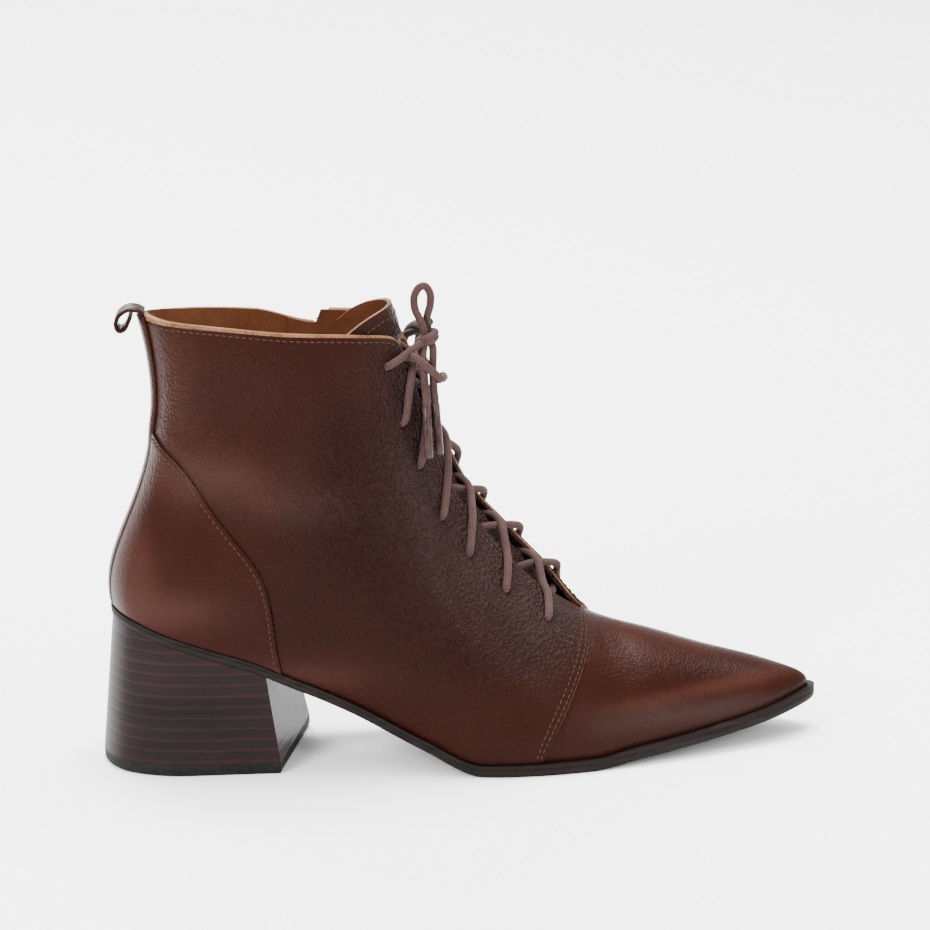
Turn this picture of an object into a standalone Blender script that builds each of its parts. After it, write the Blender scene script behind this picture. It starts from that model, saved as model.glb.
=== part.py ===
"""Lace up ankle boot with a stacked block heel, right foot.

Metres, +X to the toe, +Y to the inner side of the foot, +Z up.
The origin is the middle of the heel's base, on the floor.
"""

import bisect
import math

import bmesh
import bpy
import numpy as np
from mathutils import Vector

# Last
LAST_LENGTH = 0.269
LAST_BACK = -0.0295
BALL_WIDTH = 0.086
SHAFT = 0.1145
HEEL_HEIGHT = 0.0592
TOE_SPRING = 0.0126

# Walls and clearances
GAP = 0.0003
WALL = 0.0025
VAMP_WALL = 0.0016
SOLE_THICKNESS = 0.0045
SOLE_EDGE = 0.0019
SOLE_LEDGE = 0.0006
INSOLE_THICKNESS = 0.0020

# Heel
HEEL_LENGTH = 0.058
HEEL_FLARE_BACK = 0.0062
HEEL_FLARE_FRONT = 0.0042
HEEL_BASE_WIDTH = 0.060
HEEL_INSET = 0.0006
BREAST_SKEW = 0.0085
TOP_PIECE = 0.0045

# Overlays
COUNTER_THICKNESS = 0.0010
BACKSTAY_WIDTH = 0.0125
BACKSTAY_THICKNESS = 0.0015
LOOP_WIDTH = 0.0105
LOOP_THICKNESS = 0.0015

# Tongue
TONGUE_THICKNESS = 0.0016
TONGUE_CROWN = 0.45

# Lacing
EYELET_DIAMETER = 0.0038
CORD_DIAMETER = 0.0030
CORD_LIFT = 0.0009
AGLET_DIAMETER = 0.0034

# Zip
ZIP_SECTION = 3.42
ZIP_WIDTH = 0.0060
ZIP_BOTTOM = 0.20
ZIP_TEETH_WIDTH = 0.0040
ZIP_TEETH_THICKNESS = 0.0016
ZIP_TAPE_THICKNESS = 0.0008
SLIDER_PLACE = 0.935
SLIDER_LENGTH = 0.0085
SLIDER_WIDTH = 0.0050
SLIDER_THICKNESS = 0.0018
BAR_RISE = 0.0024
BAR_DIAMETER = 0.0011
POST_WIDTH = 0.0009
POST_LENGTH = 0.0026
PULL_LENGTH = 0.0220
PULL_WIDTH = 0.0044
PULL_NECK = 0.0024
PULL_THICKNESS = 0.0012
PULL_EYE = 0.0034
PULL_HOLE = 0.0018
PULL_LEAN = 14.0

# Rise of the sole's underside: share of the last's length, share of the heel height, share of the toe spring
PROFILE = (
    (-0.020, 1.010, 0.0),
    (0.020, 0.970, 0.0),
    (0.058, 0.905, 0.0),
    (0.110, 0.818, 0.0),
    (0.151, 0.752, 0.0),
    (0.199, 0.676, 0.0),
    (0.236, 0.597, 0.0),
    (0.299, 0.468, 0.0),
    (0.355, 0.342, 0.0),
    (0.407, 0.223, 0.0),
    (0.452, 0.125, 0.0),
    (0.481, 0.054, 0.0),
    (0.504, 0.013, 0.0),
    (0.519, 0.0, 0.0),
    (0.675, 0.0, 0.0),
    (0.745, 0.0, 0.19),
    (0.816, 0.0, 0.35),
    (0.887, 0.0, 0.54),
    (0.942, 0.0, 0.73),
    (1.010, 0.0, 1.0),
)

# Sole thickness along the last: share of the last's length, share of the sole thickness
PLATE = (
    (-0.02, 0.84),
    (0.23, 0.88),
    (0.50, 1.0),
    (0.75, 1.05),
    (1.01, 1.16),
)

# Sections of the last, from the heel's back round one side to the toe tip, in hundredths of a named size.
# name, foot along (length), foot out (ball width), top along (length), top out (ball width),
# top above the sole (shaft), then how the section leaves the foot and how it reaches the top:
# along (length), out (ball width), up (shaft), twice
OUTER_SECTIONS = (
    ("back", 0.0, 0.0, 5.9, 0.0, 104.8, -2.4, 0.0, 25.8, 5.9, 0.0, -58.5),
    ("heel curve", 2.2, 19.8, 8.4, 15.1, 106.6, -1.7, 5.2, 25.3, 4.1, 3.5, -57.6),
    ("heel side", 9.9, 31.4, 15.1, 25.6, 111.4, -0.4, 5.2, 24.5, 1.5, 4.7, -54.1),
    ("ankle", 22.1, 32.1, 26.6, 31.2, 119.9, 0.0, 5.8, 26.2, 0.0, 3.5, -48.0),
    ("shank", 33.3, 33.7, 37.0, 25.6, 129.1, 0.7, 9.3, 27.9, -1.1, 9.3, -43.7),
    ("collar front", 39.2, 39.1, 41.6, 17.7, 132.1, 1.1, 9.3, 29.7, -2.2, 14.0, -40.2),
    ("corner", 42.9, 43.5, 43.3, 12.3, 127.2, 1.1, 8.1, 30.6, -3.3, 18.6, -34.9),
    ("top facing", 47.0, 47.9, 45.0, 11.2, 116.0, 0.7, 5.8, 31.4, -4.5, 20.9, -27.9),
    ("upper instep", 50.7, 51.3, 47.2, 10.2, 101.8, 0.7, 4.7, 31.4, -4.5, 20.9, -21.8),
    ("mid instep", 54.1, 53.3, 50.0, 9.1, 85.4, 0.4, 4.1, 27.9, -3.7, 22.1, -15.7),
    ("low instep", 56.7, 53.8, 54.6, 8.1, 70.8, 0.0, 3.5, 25.3, -2.6, 23.3, -10.5),
    ("low facing", 58.9, 53.7, 60.4, 7.3, 54.8, 0.7, 3.5, 21.8, -0.7, 23.3, -6.1),
    ("vamp seam", 60.6, 53.5, 67.1, 0.0, 42.3, 3.0, 2.9, 15.7, 3.7, 25.6, -3.5),
    ("ball", 66.7, 50.7, 70.8, -0.3, 37.8, 1.5, 2.9, 14.0, 1.9, 23.3, -1.7),
    ("vamp", 76.0, 41.9, 76.8, -0.7, 31.3, 0.4, 2.9, 12.2, 0.4, 19.8, -0.3),
    ("toe root", 86.1, 28.8, 84.2, -1.3, 23.3, 0.0, 2.3, 9.6, 0.0, 15.1, 0.0),
    ("toe side", 95.0, 14.4, 91.6, -1.9, 15.5, 0.4, 1.5, 6.6, 0.7, 9.3, -0.5),
    ("tip", 100.0, -3.5, 96.8, -2.3, 9.0, 0.2, 0.0, 3.5, 1.7, -0.6, -1.4),
)
INNER_SECTIONS = (
    ("back", 0.0, 0.0, 5.9, 0.0, 104.8, -2.4, 0.0, 25.8, 5.9, 0.0, -58.5),
    ("heel curve", 2.2, 19.8, 8.4, 14.5, 105.6, -1.7, 5.2, 25.3, 4.1, 3.5, -57.6),
    ("heel side", 9.9, 30.8, 15.1, 24.2, 109.7, -0.4, 5.2, 24.5, 1.5, 4.7, -54.1),
    ("ankle", 22.1, 29.1, 26.6, 30.2, 118.2, 0.0, 5.8, 26.2, 0.0, 4.7, -48.0),
    ("shank", 33.3, 26.2, 37.0, 25.0, 129.6, 0.7, 10.5, 26.2, -1.1, 10.5, -43.7),
    ("collar front", 38.5, 25.6, 41.6, 17.4, 132.8, 1.1, 11.6, 27.9, -2.2, 15.1, -40.2),
    ("corner", 42.6, 26.7, 43.5, 12.6, 128.3, 1.1, 11.6, 29.7, -3.3, 19.8, -34.9),
    ("top facing", 47.0, 30.2, 45.4, 11.5, 117.3, 0.7, 10.5, 31.4, -4.5, 20.9, -27.9),
    ("upper instep", 51.1, 34.9, 48.0, 10.7, 102.5, 0.7, 8.1, 31.4, -4.5, 19.8, -21.8),
    ("mid instep", 54.8, 39.3, 51.1, 9.7, 86.9, 0.4, 6.4, 27.9, -3.7, 20.9, -15.7),
    ("low instep", 58.6, 43.0, 55.9, 8.4, 72.7, 0.0, 5.2, 25.3, -2.6, 22.1, -10.5),
    ("low facing", 62.3, 45.7, 61.7, 7.9, 56.9, 0.4, 4.1, 22.7, -0.7, 22.1, -6.1),
    ("vamp seam", 66.0, 46.7, 67.1, 0.0, 42.3, 1.5, 3.5, 18.3, 3.0, 23.3, -2.8),
    ("ball", 70.4, 45.3, 70.8, 0.3, 37.8, 1.1, 3.5, 14.8, 1.9, 22.1, -1.7),
    ("vamp", 78.3, 39.3, 76.8, 0.7, 31.3, 0.4, 2.9, 12.2, 0.4, 19.8, -0.3),
    ("toe root", 87.2, 28.5, 84.2, 1.3, 23.3, 0.0, 2.3, 9.6, 0.0, 15.1, 0.0),
    ("toe side", 95.4, 16.3, 91.6, 1.9, 15.5, 0.4, 1.5, 6.6, 0.7, 9.3, -0.5),
    ("tip", 100.0, 3.5, 96.8, 2.3, 9.0, 0.2, 0.0, 3.5, 1.7, 0.6, -1.4),
)
TIP = float(len(OUTER_SECTIONS) - 1)
THROAT_TOP = 6.0
VAMP_SEAM = 12.0
SEAM_STEP = 0.012
HEIGHTS = (0.0, 0.07, 0.13, ZIP_BOTTOM, 0.32, 0.45, 0.58, 0.71, 0.82, 0.91, 1.0)

# Upper edge of the heel counter: section, share of the section's height
COUNTER_EDGE = (
    (0.0, 0.735),
    (0.93, 0.702),
    (1.56, 0.655),
    (2.01, 0.575),
    (2.32, 0.498),
    (2.62, 0.416),
    (2.84, 0.346),
    (2.98, 0.262),
    (3.04, 0.180),
    (3.14, 0.0),
)

# Eyelets of one side from the collar down: section, share of the section's height
EYELETS = (
    (5.01, 0.923),
    (6.48, 0.842),
    (7.59, 0.833),
    (8.66, 0.818),
    (9.55, 0.805),
    (10.46, 0.781),
    (11.28, 0.768),
)


def smooth(stations, columns, at):
    """Smooth value of each column at one station, with no overshoot between the rows."""
    x = list(stations)
    k = min(max(bisect.bisect_right(x, at) - 1, 0), len(x) - 2)
    y = np.asarray(columns, float)
    step = x[k + 1] - x[k]

    def slope(i):
        if i <= 0 or i >= len(x) - 1:
            j = 0 if i <= 0 else len(x) - 2
            return (y[j + 1] - y[j]) / (x[j + 1] - x[j])
        before = (y[i] - y[i - 1]) / (x[i] - x[i - 1])
        after = (y[i + 1] - y[i]) / (x[i + 1] - x[i])
        same = before * after > 0
        safe = np.where(same, before + after, 1.0)
        return np.where(same, 2.0 * before * after / safe, 0.0)

    t = (at - x[k]) / step
    a = 2 * t**3 - 3 * t**2 + 1
    b = t**3 - 2 * t**2 + t
    c = -2 * t**3 + 3 * t**2
    d = t**3 - t**2
    return a * y[k] + b * step * slope(k) + c * y[k + 1] + d * step * slope(k + 1)


def along(x):
    """Share of the last's length at x."""
    return (x - LAST_BACK) / LAST_LENGTH


def sole_under(x):
    """Height of the sole's underside at x."""
    heel, toe = smooth([r[0] for r in PROFILE], [r[1:] for r in PROFILE], along(x))
    return float(heel * HEEL_HEIGHT + toe * TOE_SPRING)


def sole_top(x):
    """Height of the sole's upper face at x."""
    share = smooth([r[0] for r in PLATE], [r[1:] for r in PLATE], along(x))[0]
    return sole_under(x) + float(share) * SOLE_THICKNESS


def section_rows():
    """All sections in one loop from the inner tip round the back to the outer tip, with two more at each end."""
    rows = []
    for sign, table in ((1.0, INNER_SECTIONS), (-1.0, OUTER_SECTIONS)):
        part = []
        for i, row in enumerate(table):
            v = [x / 100.0 for x in row[1:]]
            foot_x = LAST_BACK + v[0] * LAST_LENGTH
            top_x = LAST_BACK + v[2] * LAST_LENGTH
            size = (LAST_LENGTH, sign * BALL_WIDTH, SHAFT)
            part.append((
                -sign * i,
                foot_x, sign * v[1] * BALL_WIDTH,
                top_x, sign * v[3] * BALL_WIDTH, sole_top(top_x) + v[4] * SHAFT,
                v[5] * size[0], v[6] * size[1], v[7] * size[2],
                v[8] * size[0], v[9] * size[1], v[10] * size[2],
            ))
        rows += part[::-1] if sign > 0 else part[1:]
    around = 2 * TIP
    before = [(r[0] - around,) + r[1:] for r in rows[-3:-1]]
    after = [(r[0] + around,) + r[1:] for r in rows[1:3]]
    return before + rows + after


ROWS = section_rows()
STATIONS = [r[0] for r in ROWS]
COLUMNS = np.array([r[1:] for r in ROWS])


def last(section, height):
    """Point on the last: section counts from the back, outer side above 0, and height runs from foot 0 to top 1."""
    c = smooth(STATIONS, COLUMNS, section)
    foot = np.array((c[0], c[1], sole_top(c[0]) + GAP))
    top = c[2:5]
    leave = foot + c[5:8]
    reach = top + c[8:11]
    t = height
    return (1 - t)**3 * foot + 3 * t * (1 - t)**2 * leave + 3 * t * t * (1 - t) * reach + t**3 * top


def last_normal(section, height):
    """Outward direction of the last at a point."""
    h = min(max(height, 0.004), 0.996)
    du = last(section + 0.01, h) - last(section - 0.01, h)
    dv = last(section, h + 0.004) - last(section, h - 0.004)
    n = np.cross(du, dv)
    return n / np.linalg.norm(n)


def skin(section, height, out):
    """Point at a distance outside the last, kept above the sole at the foot."""
    p = last(section, height) + last_normal(section, height) * out
    if height < 1e-6:
        p[2] = sole_top(p[0]) + GAP
    return p


def width_to_sections(section, height, width):
    """How many sections a width along the last takes at one point."""
    run = last(section + 0.02, height) - last(section - 0.02, height)
    return width / (np.linalg.norm(run) / 0.04)


def plan(section, out):
    """Point of the last's foot outline moved outward in plan."""
    a = last(section - 0.02, 0.0)
    b = last(section + 0.02, 0.0)
    d = (b - a)[:2]
    d = d / np.linalg.norm(d)
    p = last(section, 0.0)[:2]
    return np.array((p[0] + d[1] * out, p[1] - d[0] * out))


PARTS = bpy.data.collections.new("lace_up_ankle_boot")
CUTTERS = bpy.data.collections.new("cutters")


def material(name, colour, roughness, metallic=0.0):
    """Principled material with a plain finish."""
    m = bpy.data.materials.get(name) or bpy.data.materials.new(name)
    m.use_nodes = True
    shader = m.node_tree.nodes["Principled BSDF"]
    shader.inputs["Base Color"].default_value = (*colour, 1.0)
    shader.inputs["Roughness"].default_value = roughness
    shader.inputs["Metallic"].default_value = metallic
    m.diffuse_color = (*colour, 1.0)
    return m


def place(name, mesh, finish, smooth_angle=40.0):
    """Object in the parts collection, shaded smooth up to an angle."""
    obj = bpy.data.objects.new(name, mesh)
    PARTS.objects.link(obj)
    mesh.materials.clear()
    mesh.materials.append(finish)
    mesh.shade_smooth()
    mesh.set_sharp_from_angle(angle=math.radians(smooth_angle))
    return obj


class Shell:
    """Closed solid between two sheets of the same grid, with rims at every open edge."""

    def __init__(self):
        self.bm = bmesh.new()
        self.found = {}

    def vertex(self, p):
        key = tuple(int(round(float(c) * 2e6)) for c in p)
        if key not in self.found:
            self.found[key] = self.bm.verts.new(Vector([float(c) for c in p]))
        return self.found[key]

    def face(self, points):
        corners = []
        for p in points:
            v = self.vertex(p)
            if v not in corners:
                corners.append(v)
        if len(corners) > 2 and not self.bm.faces.get(corners):
            self.bm.faces.new(corners)

    def mesh(self, name):
        bmesh.ops.recalc_face_normals(self.bm, faces=self.bm.faces[:])
        mesh = bpy.data.meshes.new(name)
        self.bm.to_mesh(mesh)
        self.bm.free()
        if mesh_volume(mesh) < 0:
            mesh.flip_normals()
        return mesh


def mesh_volume(mesh):
    """Signed volume of a closed mesh."""
    bm = bmesh.new()
    bm.from_mesh(mesh)
    volume = bm.calc_volume(signed=True)
    bm.free()
    return volume


def shell_between(name, outer, inner, keep=None):
    """Closed solid from two grids of points, one outside the other. keep(i, j) says which cells are there."""
    shell = Shell()
    cells = [
        (i, j)
        for i in range(len(outer) - 1)
        for j in range(len(outer[0]) - 1)
        if keep is None or keep(i, j)
    ]
    edges = {}
    for i, j in cells:
        loop = [(i, j), (i + 1, j), (i + 1, j + 1), (i, j + 1)]
        shell.face([outer[a][b] for a, b in loop])
        shell.face([inner[a][b] for a, b in reversed(loop)])
        for k in range(4):
            a = loop[k]
            b = loop[(k + 1) % 4]
            pa = tuple(np.round(outer[a[0]][a[1]], 7))
            pb = tuple(np.round(outer[b[0]][b[1]], 7))
            if pa != pb:
                edges.setdefault(frozenset((pa, pb)), []).append((a, b))
    for uses in edges.values():
        if len(uses) == 1:
            a, b = uses[0]
            shell.face([outer[b[0]][b[1]], outer[a[0]][a[1]], inner[a[0]][a[1]], inner[b[0]][b[1]]])
    return shell.mesh(name)


def rings_solid(name, rings):
    """Closed solid through a list of rings with as many points each, capped at both ends by strips."""
    shell = Shell()
    for a, b in zip(rings[:-1], rings[1:]):
        for k in range(len(a)):
            m = (k + 1) % len(a)
            shell.face([a[k], a[m], b[m], b[k]])
    for ring, flip in ((rings[0], True), (rings[-1], False)):
        n = len(ring)
        for k in range(n // 2):
            quad = [ring[k], ring[(k + 1) % n], ring[n - 2 - k], ring[n - 1 - k]]
            shell.face(quad[::-1] if flip else quad)
    return shell.mesh(name)


def spaced(a, b, count):
    """Even values from a to b."""
    return [a + (b - a) * i / count for i in range(count + 1)]


FINE = 3


def foot_sections(start, end, fine=FINE):
    """Section values from start to end, a few to each section."""
    return spaced(start, end, max(1, round(abs(end - start) * fine)))


def build_outsole():
    """Plate with the last's outline, arch and toe spring, its edge in two steps."""
    finish = material("sole_edge_dark", (0.035, 0.028, 0.025), 0.55)
    stations = [TIP - s for s in foot_sections(0.0, TIP)]
    rungs = []
    for s in stations:
        rung = []
        for side in (1.0, -1.0):
            edge = plan(side * s, SOLE_EDGE)
            step = plan(side * s, SOLE_EDGE - SOLE_LEDGE)
            top = sole_top(edge[0])
            low = sole_under(edge[0])
            mid = low + (top - low) * 0.45
            low_in = sole_under(step[0])
            profile = [(edge, top), (edge, mid), (step, mid - 0.0003), (step, low_in)]
            rung.append([np.array((p[0], p[1], z)) for p, z in profile])
        outer, inner = rung
        rungs.append(outer + inner[::-1])
    shell = Shell()
    for a, b in zip(rungs[:-1], rungs[1:]):
        for k in range(len(a)):
            m = (k + 1) % len(a)
            shell.face([a[k], a[m], b[m], b[k]])
    return place("outsole", shell.mesh("outsole"), finish, 30.0)


def heel_outline(share):
    """Plan of the heel at a share of its height, 0 at the sole and 1 at the floor, from breast to breast."""
    count = 12
    points = []
    for side in (1.0, -1.0):
        breast = LAST_BACK + HEEL_LENGTH + (0.0 if side > 0 else BREAST_SKEW)
        reach = section_at(breast, side)
        sections = [reach * math.sin(math.pi / 2 * k / count) for k in range(count + 1)]
        half = []
        for s in sections:
            p = plan(side * s, SOLE_EDGE - HEEL_INSET)
            half.append(p)
        points.append(half)
    outer, inner = points
    ring = outer[::-1] + inner[1:]
    top_width = abs(outer[-1][1]) + abs(inner[-1][1])
    back = min(p[0] for p in ring)
    front = LAST_BACK + HEEL_LENGTH
    stretch = (front + HEEL_FLARE_FRONT - back + HEEL_FLARE_BACK) / (front - back)
    out = []
    for p in ring:
        wide = HEEL_BASE_WIDTH / top_width
        base = np.array((back - HEEL_FLARE_BACK + (p[0] - back) * stretch, p[1] * wide))
        out.append(p * (1 - share) + base * share)
    return out


def section_at(x, side):
    """Section whose foot lies at x on one side."""
    low, high = 0.0, TIP
    for _ in range(40):
        mid = (low + high) / 2
        if last(side * mid, 0.0)[0] < x:
            low = mid
        else:
            high = mid
    return low


def build_heel():
    """Stacked block under the heel seat, and its top piece on the floor."""
    wood = material("stacked_heel", (0.045, 0.022, 0.014), 0.35)
    rubber = material("top_piece_dark", (0.02, 0.018, 0.017), 0.7)
    levels = (0.0, 0.35, 0.7, 1.0)
    rings = []
    floor = TOP_PIECE + GAP
    for level in levels:
        ring = []
        for top, p in zip(heel_outline(0.0), heel_outline(level)):
            seat = sole_under(top[0]) - 2 * GAP
            ring.append(np.array((p[0], p[1], seat + (floor - seat) * level)))
        rings.append(ring)
    block = place("heel_block", rings_solid("heel_block", rings), wood, 35.0)
    base = heel_outline(1.0)
    rings = [[np.array((p[0], p[1], z)) for p in base] for z in (TOP_PIECE, 0.0)]
    top_piece = place("heel_top_piece", rings_solid("heel_top_piece", rings), rubber, 35.0)
    return block, top_piece


def upper_out(section):
    """How far the outer face stands from the last: the vamp lies lower than the quarters that overlap it."""
    return 0.0 if abs(section) < VAMP_SEAM else VAMP_WALL - WALL


def slot_edges():
    """Sections of the zip opening's rear and front edge."""
    half = width_to_sections(-ZIP_SECTION, 0.8, ZIP_WIDTH / 2)
    return ZIP_SECTION - half, ZIP_SECTION + half


def upper_sections():
    """Section values round the whole boot, with a pair at the vamp seam and the zip's edges."""
    values = {round(s, 6) for s in foot_sections(0.0, TIP)}
    values.discard(VAMP_SEAM)
    values |= {VAMP_SEAM - SEAM_STEP, VAMP_SEAM + SEAM_STEP}
    outer = sorted(values)
    rear, front = slot_edges()
    spare = 0.4 / FINE
    inner = [v for v in outer if abs(v - rear) > spare and abs(v - front) > spare]
    inner = sorted(inner + [rear, front])
    return [-v for v in reversed(inner)] + outer[1:]


def ridge(section, height, out):
    """Skin point, with both sides joined along the top of the vamp."""
    p = skin(section, height, out)
    if height > 0.999 and abs(section) > VAMP_SEAM:
        p = (p + skin(-section, height, out)) / 2
    return p


def grid(sections, heights, out):
    """Skin points for each section and height, at the distance that out gives for a section."""
    return [[ridge(s, h, out(s)) for h in heights] for s in sections]


def skin_piece(name, sections, heights, low, high, finish, keep=None):
    """Solid between two distances outside the last."""
    outer = grid(sections, heights, lambda s: high)
    inner = grid(sections, heights, lambda s: low)
    return place(name, shell_between(name, outer, inner, keep), finish)


def build_upper():
    """Hollow upper in one wall, with throat, collar, zip opening and eyelet holes."""
    finish = material("leather_brown", (0.075, 0.022, 0.012), 0.4)
    sections = upper_sections()
    outer = grid(sections, HEIGHTS, upper_out)
    inner = grid(sections, HEIGHTS, lambda s: -WALL)
    outer[-1] = outer[0]
    inner[-1] = inner[0]
    rear, front = slot_edges()

    def keep(i, j):
        middle = (sections[i] + sections[i + 1]) / 2
        return not (-front < middle < -rear and HEIGHTS[j] >= ZIP_BOTTOM)

    upper = place("upper", shell_between("upper", outer, inner, keep), finish)
    for side in (1.0, -1.0):
        for section, height in EYELETS:
            place_on = side * section
            cut(upper, hole_cutter(last(place_on, height), last_normal(place_on, height)), "DIFFERENCE")
    return upper


def cutter(name, mesh):
    """Cutting form, drawn as wire and never rendered."""
    obj = bpy.data.objects.new(name, mesh)
    CUTTERS.objects.link(obj)
    obj.display_type = "WIRE"
    obj.hide_render = True
    return obj


def cut(target, tool, operation):
    """Boolean of one object with a cutting form."""
    step = target.modifiers.new(tool.name, "BOOLEAN")
    step.operation = operation
    step.solver = "EXACT"
    step.object = tool


def hole_cutter(p, n):
    """Round punch through the wall at a point."""
    bm = bmesh.new()
    radius = EYELET_DIAMETER / 2
    bmesh.ops.create_cone(bm, cap_ends=True, segments=10, radius1=radius, radius2=radius, depth=4 * WALL)
    mesh = bpy.data.meshes.new("eyelet_cutter")
    bm.to_mesh(mesh)
    bm.free()
    tool = cutter("eyelet_cutter", mesh)
    tool.location = Vector(p)
    tool.rotation_mode = "QUATERNION"
    tool.rotation_quaternion = Vector(n).to_track_quat("Z", "Y")
    return tool


def box_cutter(name, low, high):
    """Box between two corners."""
    bm = bmesh.new()
    bmesh.ops.create_cube(bm, size=1.0)
    low = Vector(low)
    high = Vector(high)
    for v in bm.verts:
        v.co = Vector([(low[k] + high[k]) / 2 + v.co[k] * (high[k] - low[k]) for k in range(3)])
    mesh = bpy.data.meshes.new(name)
    bm.to_mesh(mesh)
    bm.free()
    return cutter(name, mesh)


def side_prism(name, outline, y_low, y_high):
    """Form with an outline in side view, from one distance across to another."""
    shell = Shell()
    near = [np.array((x, y_low, z)) for x, z in outline]
    far = [np.array((x, y_high, z)) for x, z in outline]
    shell.face(near)
    shell.face(far[::-1])
    for k in range(len(outline)):
        m = (k + 1) % len(outline)
        shell.face([near[m], near[k], far[k], far[m]])
    return cutter(name, shell.mesh(name))


def counter_outline():
    """Counter's seam in side view, closed behind and below the heel."""
    rows = COUNTER_EDGE
    seam = []
    for s in spaced(0.0, rows[-1][0], 14):
        height = float(smooth([r[0] for r in rows], [r[1:] for r in rows], s)[0])
        p = last(s, max(height, 0.0))
        seam.append((p[0], p[2]))
    back = LAST_BACK - BALL_WIDTH
    foot = seam[-1]
    return [(back, seam[0][1])] + seam + [(foot[0] + 0.004, -0.01), (back, -0.01)]


def build_counters():
    """Heel overlays on both sides, from beside the backstay to the counter seam."""
    finish = material("leather_counter", (0.075, 0.022, 0.012), 0.35)
    outline = counter_outline()
    clear = BACKSTAY_WIDTH / 2 + GAP
    made = []
    for name, side in (("counter_outer", 1.0), ("counter_inner", -1.0)):
        sections = [s for s in upper_sections() if 0.0 <= side * s < COUNTER_EDGE[-1][0] + 0.5]
        heights = [h for h in HEIGHTS if h < 0.8]
        piece = skin_piece(name, sections, heights, GAP, GAP + COUNTER_THICKNESS, finish)
        ends = sorted((-side * clear, -side * BALL_WIDTH))
        cut(piece, side_prism(name + "_outline", outline, ends[0], ends[1]), "INTERSECT")
        made.append(piece)
    return made


def build_backstay():
    """Strip over the back seam from the sole to the collar."""
    finish = material("leather_strip", (0.06, 0.02, 0.012), 0.45)
    sections = [s for s in upper_sections() if abs(s) < 1.5]
    piece = skin_piece("backstay", sections, HEIGHTS, GAP, GAP + BACKSTAY_THICKNESS, finish)
    half = BACKSTAY_WIDTH / 2
    reach = 3 * SHAFT
    cut(piece, box_cutter("backstay_width", (-reach, -half, -reach), (reach, half, reach)), "INTERSECT")
    return piece


# Pull loop in side view, from the collar's top backwards and round: along and up from the collar's back edge
PULL_LOOP = (
    (0.0012, 0.0012),
    (-0.0012, 0.0034),
    (-0.0050, 0.0036),
    (-0.0082, 0.0008),
    (-0.0096, -0.0040),
    (-0.0082, -0.0082),
    (-0.0056, -0.0080),
    (-0.0044, -0.0048),
    (-0.0038, -0.0020),
)


def strip_along(name, path, width, thickness, finish):
    """Flat strip of leather along a path in side view."""
    outer = []
    inner = []
    for k, p in enumerate(path):
        a = path[max(k - 1, 0)]
        b = path[min(k + 1, len(path) - 1)]
        d = np.array(b) - np.array(a)
        d = d / np.linalg.norm(d)
        n = np.array((-d[1], d[0])) * thickness / 2
        outer.append([np.array((p[0] + n[0], y, p[1] + n[1])) for y in (-width / 2, width / 2)])
        inner.append([np.array((p[0] - n[0], y, p[1] - n[1])) for y in (-width / 2, width / 2)])
    return place(name, shell_between(name, outer, inner), finish)


def catmull(points, per_span):
    """Smooth run through points."""
    pts = [np.array(p, float) for p in points]
    pts = [2 * pts[0] - pts[1]] + pts + [2 * pts[-1] - pts[-2]]
    out = []
    for k in range(1, len(pts) - 2):
        a, b, c, d = pts[k - 1:k + 3]
        for j in range(per_span):
            t = j / per_span
            square = (2 * a - 5 * b + 4 * c - d) * t**2
            cube = (3 * b - a - 3 * c + d) * t**3
            out.append(0.5 * (2 * b + (c - a) * t + square + cube))
    out.append(pts[-2])
    return out


def build_pull_loop():
    """Leather loop that curls back from the collar."""
    finish = material("leather_strip", (0.06, 0.02, 0.012), 0.45)
    top = last(0.0, 1.0)
    path = [(top[0] + x, top[2] + z) for x, z in PULL_LOOP]
    return strip_along("pull_loop", catmull(path, 2), LOOP_WIDTH, LOOP_THICKNESS, finish)


# Side edges of the tongue: section of the facing edge it passes, then the section and height of its own edge
TONGUE_SIDE = (
    (6.0, 4.30, 0.86),
    (7.0, 5.40, 0.83),
    (8.0, 7.00, 0.81),
    (9.0, 8.60, 0.80),
    (10.0, 9.90, 0.80),
    (12.0, 12.00, 0.80),
)

# Top edge of the tongue from the outer to the inner side in millimetres: along, across, up
TONGUE_TOP = (
    (60.5, -21.0, 166.0), (66.5, -19.6, 170.8), (72.5, -16.4, 174.4), (78.0, -11.6, 176.6), (81.2, -6.4, 177.6),
    (82.4, 0.0, 178.0),
    (81.2, 6.4, 177.6), (78.0, 11.6, 176.6), (72.5, 16.0, 174.6), (66.5, 18.6, 171.4), (61.0, 19.6, 167.0),
)


def tongue_row(section, out):
    """Points across the tongue at one section: under the outer facing, over the gap, under the inner facing."""
    own, low = smooth([r[0] for r in TONGUE_SIDE], [r[1:] for r in TONGUE_SIDE], section)
    steps = spaced(0.0, 1.0, 3)
    sides = []
    for side in (1.0, -1.0):
        sides.append([ridge(side * (own + (section - own) * u), low + (1.0 - low) * u, out) for u in steps])
    outer, inner = sides
    a = outer[-1]
    b = inner[-1]
    gap = float(np.linalg.norm(b - a))
    ta = (outer[-1] - outer[-2]) / np.linalg.norm(outer[-1] - outer[-2]) * gap * TONGUE_CROWN
    tb = (inner[-2] - inner[-1]) / np.linalg.norm(inner[-2] - inner[-1]) * gap * TONGUE_CROWN
    bridge = []
    for t in (0.25, 0.5, 0.75):
        p = (2 * t**3 - 3 * t**2 + 1) * a + (t**3 - 2 * t**2 + t) * ta
        p = p + (3 * t**2 - 2 * t**3) * b + (t**3 - t**2) * tb
        bridge.append(p)
    return outer + bridge + inner[::-1]


def thickened(rows, thickness):
    """Sheet of points moved inward from a grid by its own thickness."""
    grid_points = np.array(rows)
    down = np.gradient(grid_points, axis=0)
    across = np.gradient(grid_points, axis=1)
    n = np.cross(down, across)
    n = n / np.linalg.norm(n, axis=2, keepdims=True)
    return grid_points - n * thickness


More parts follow.
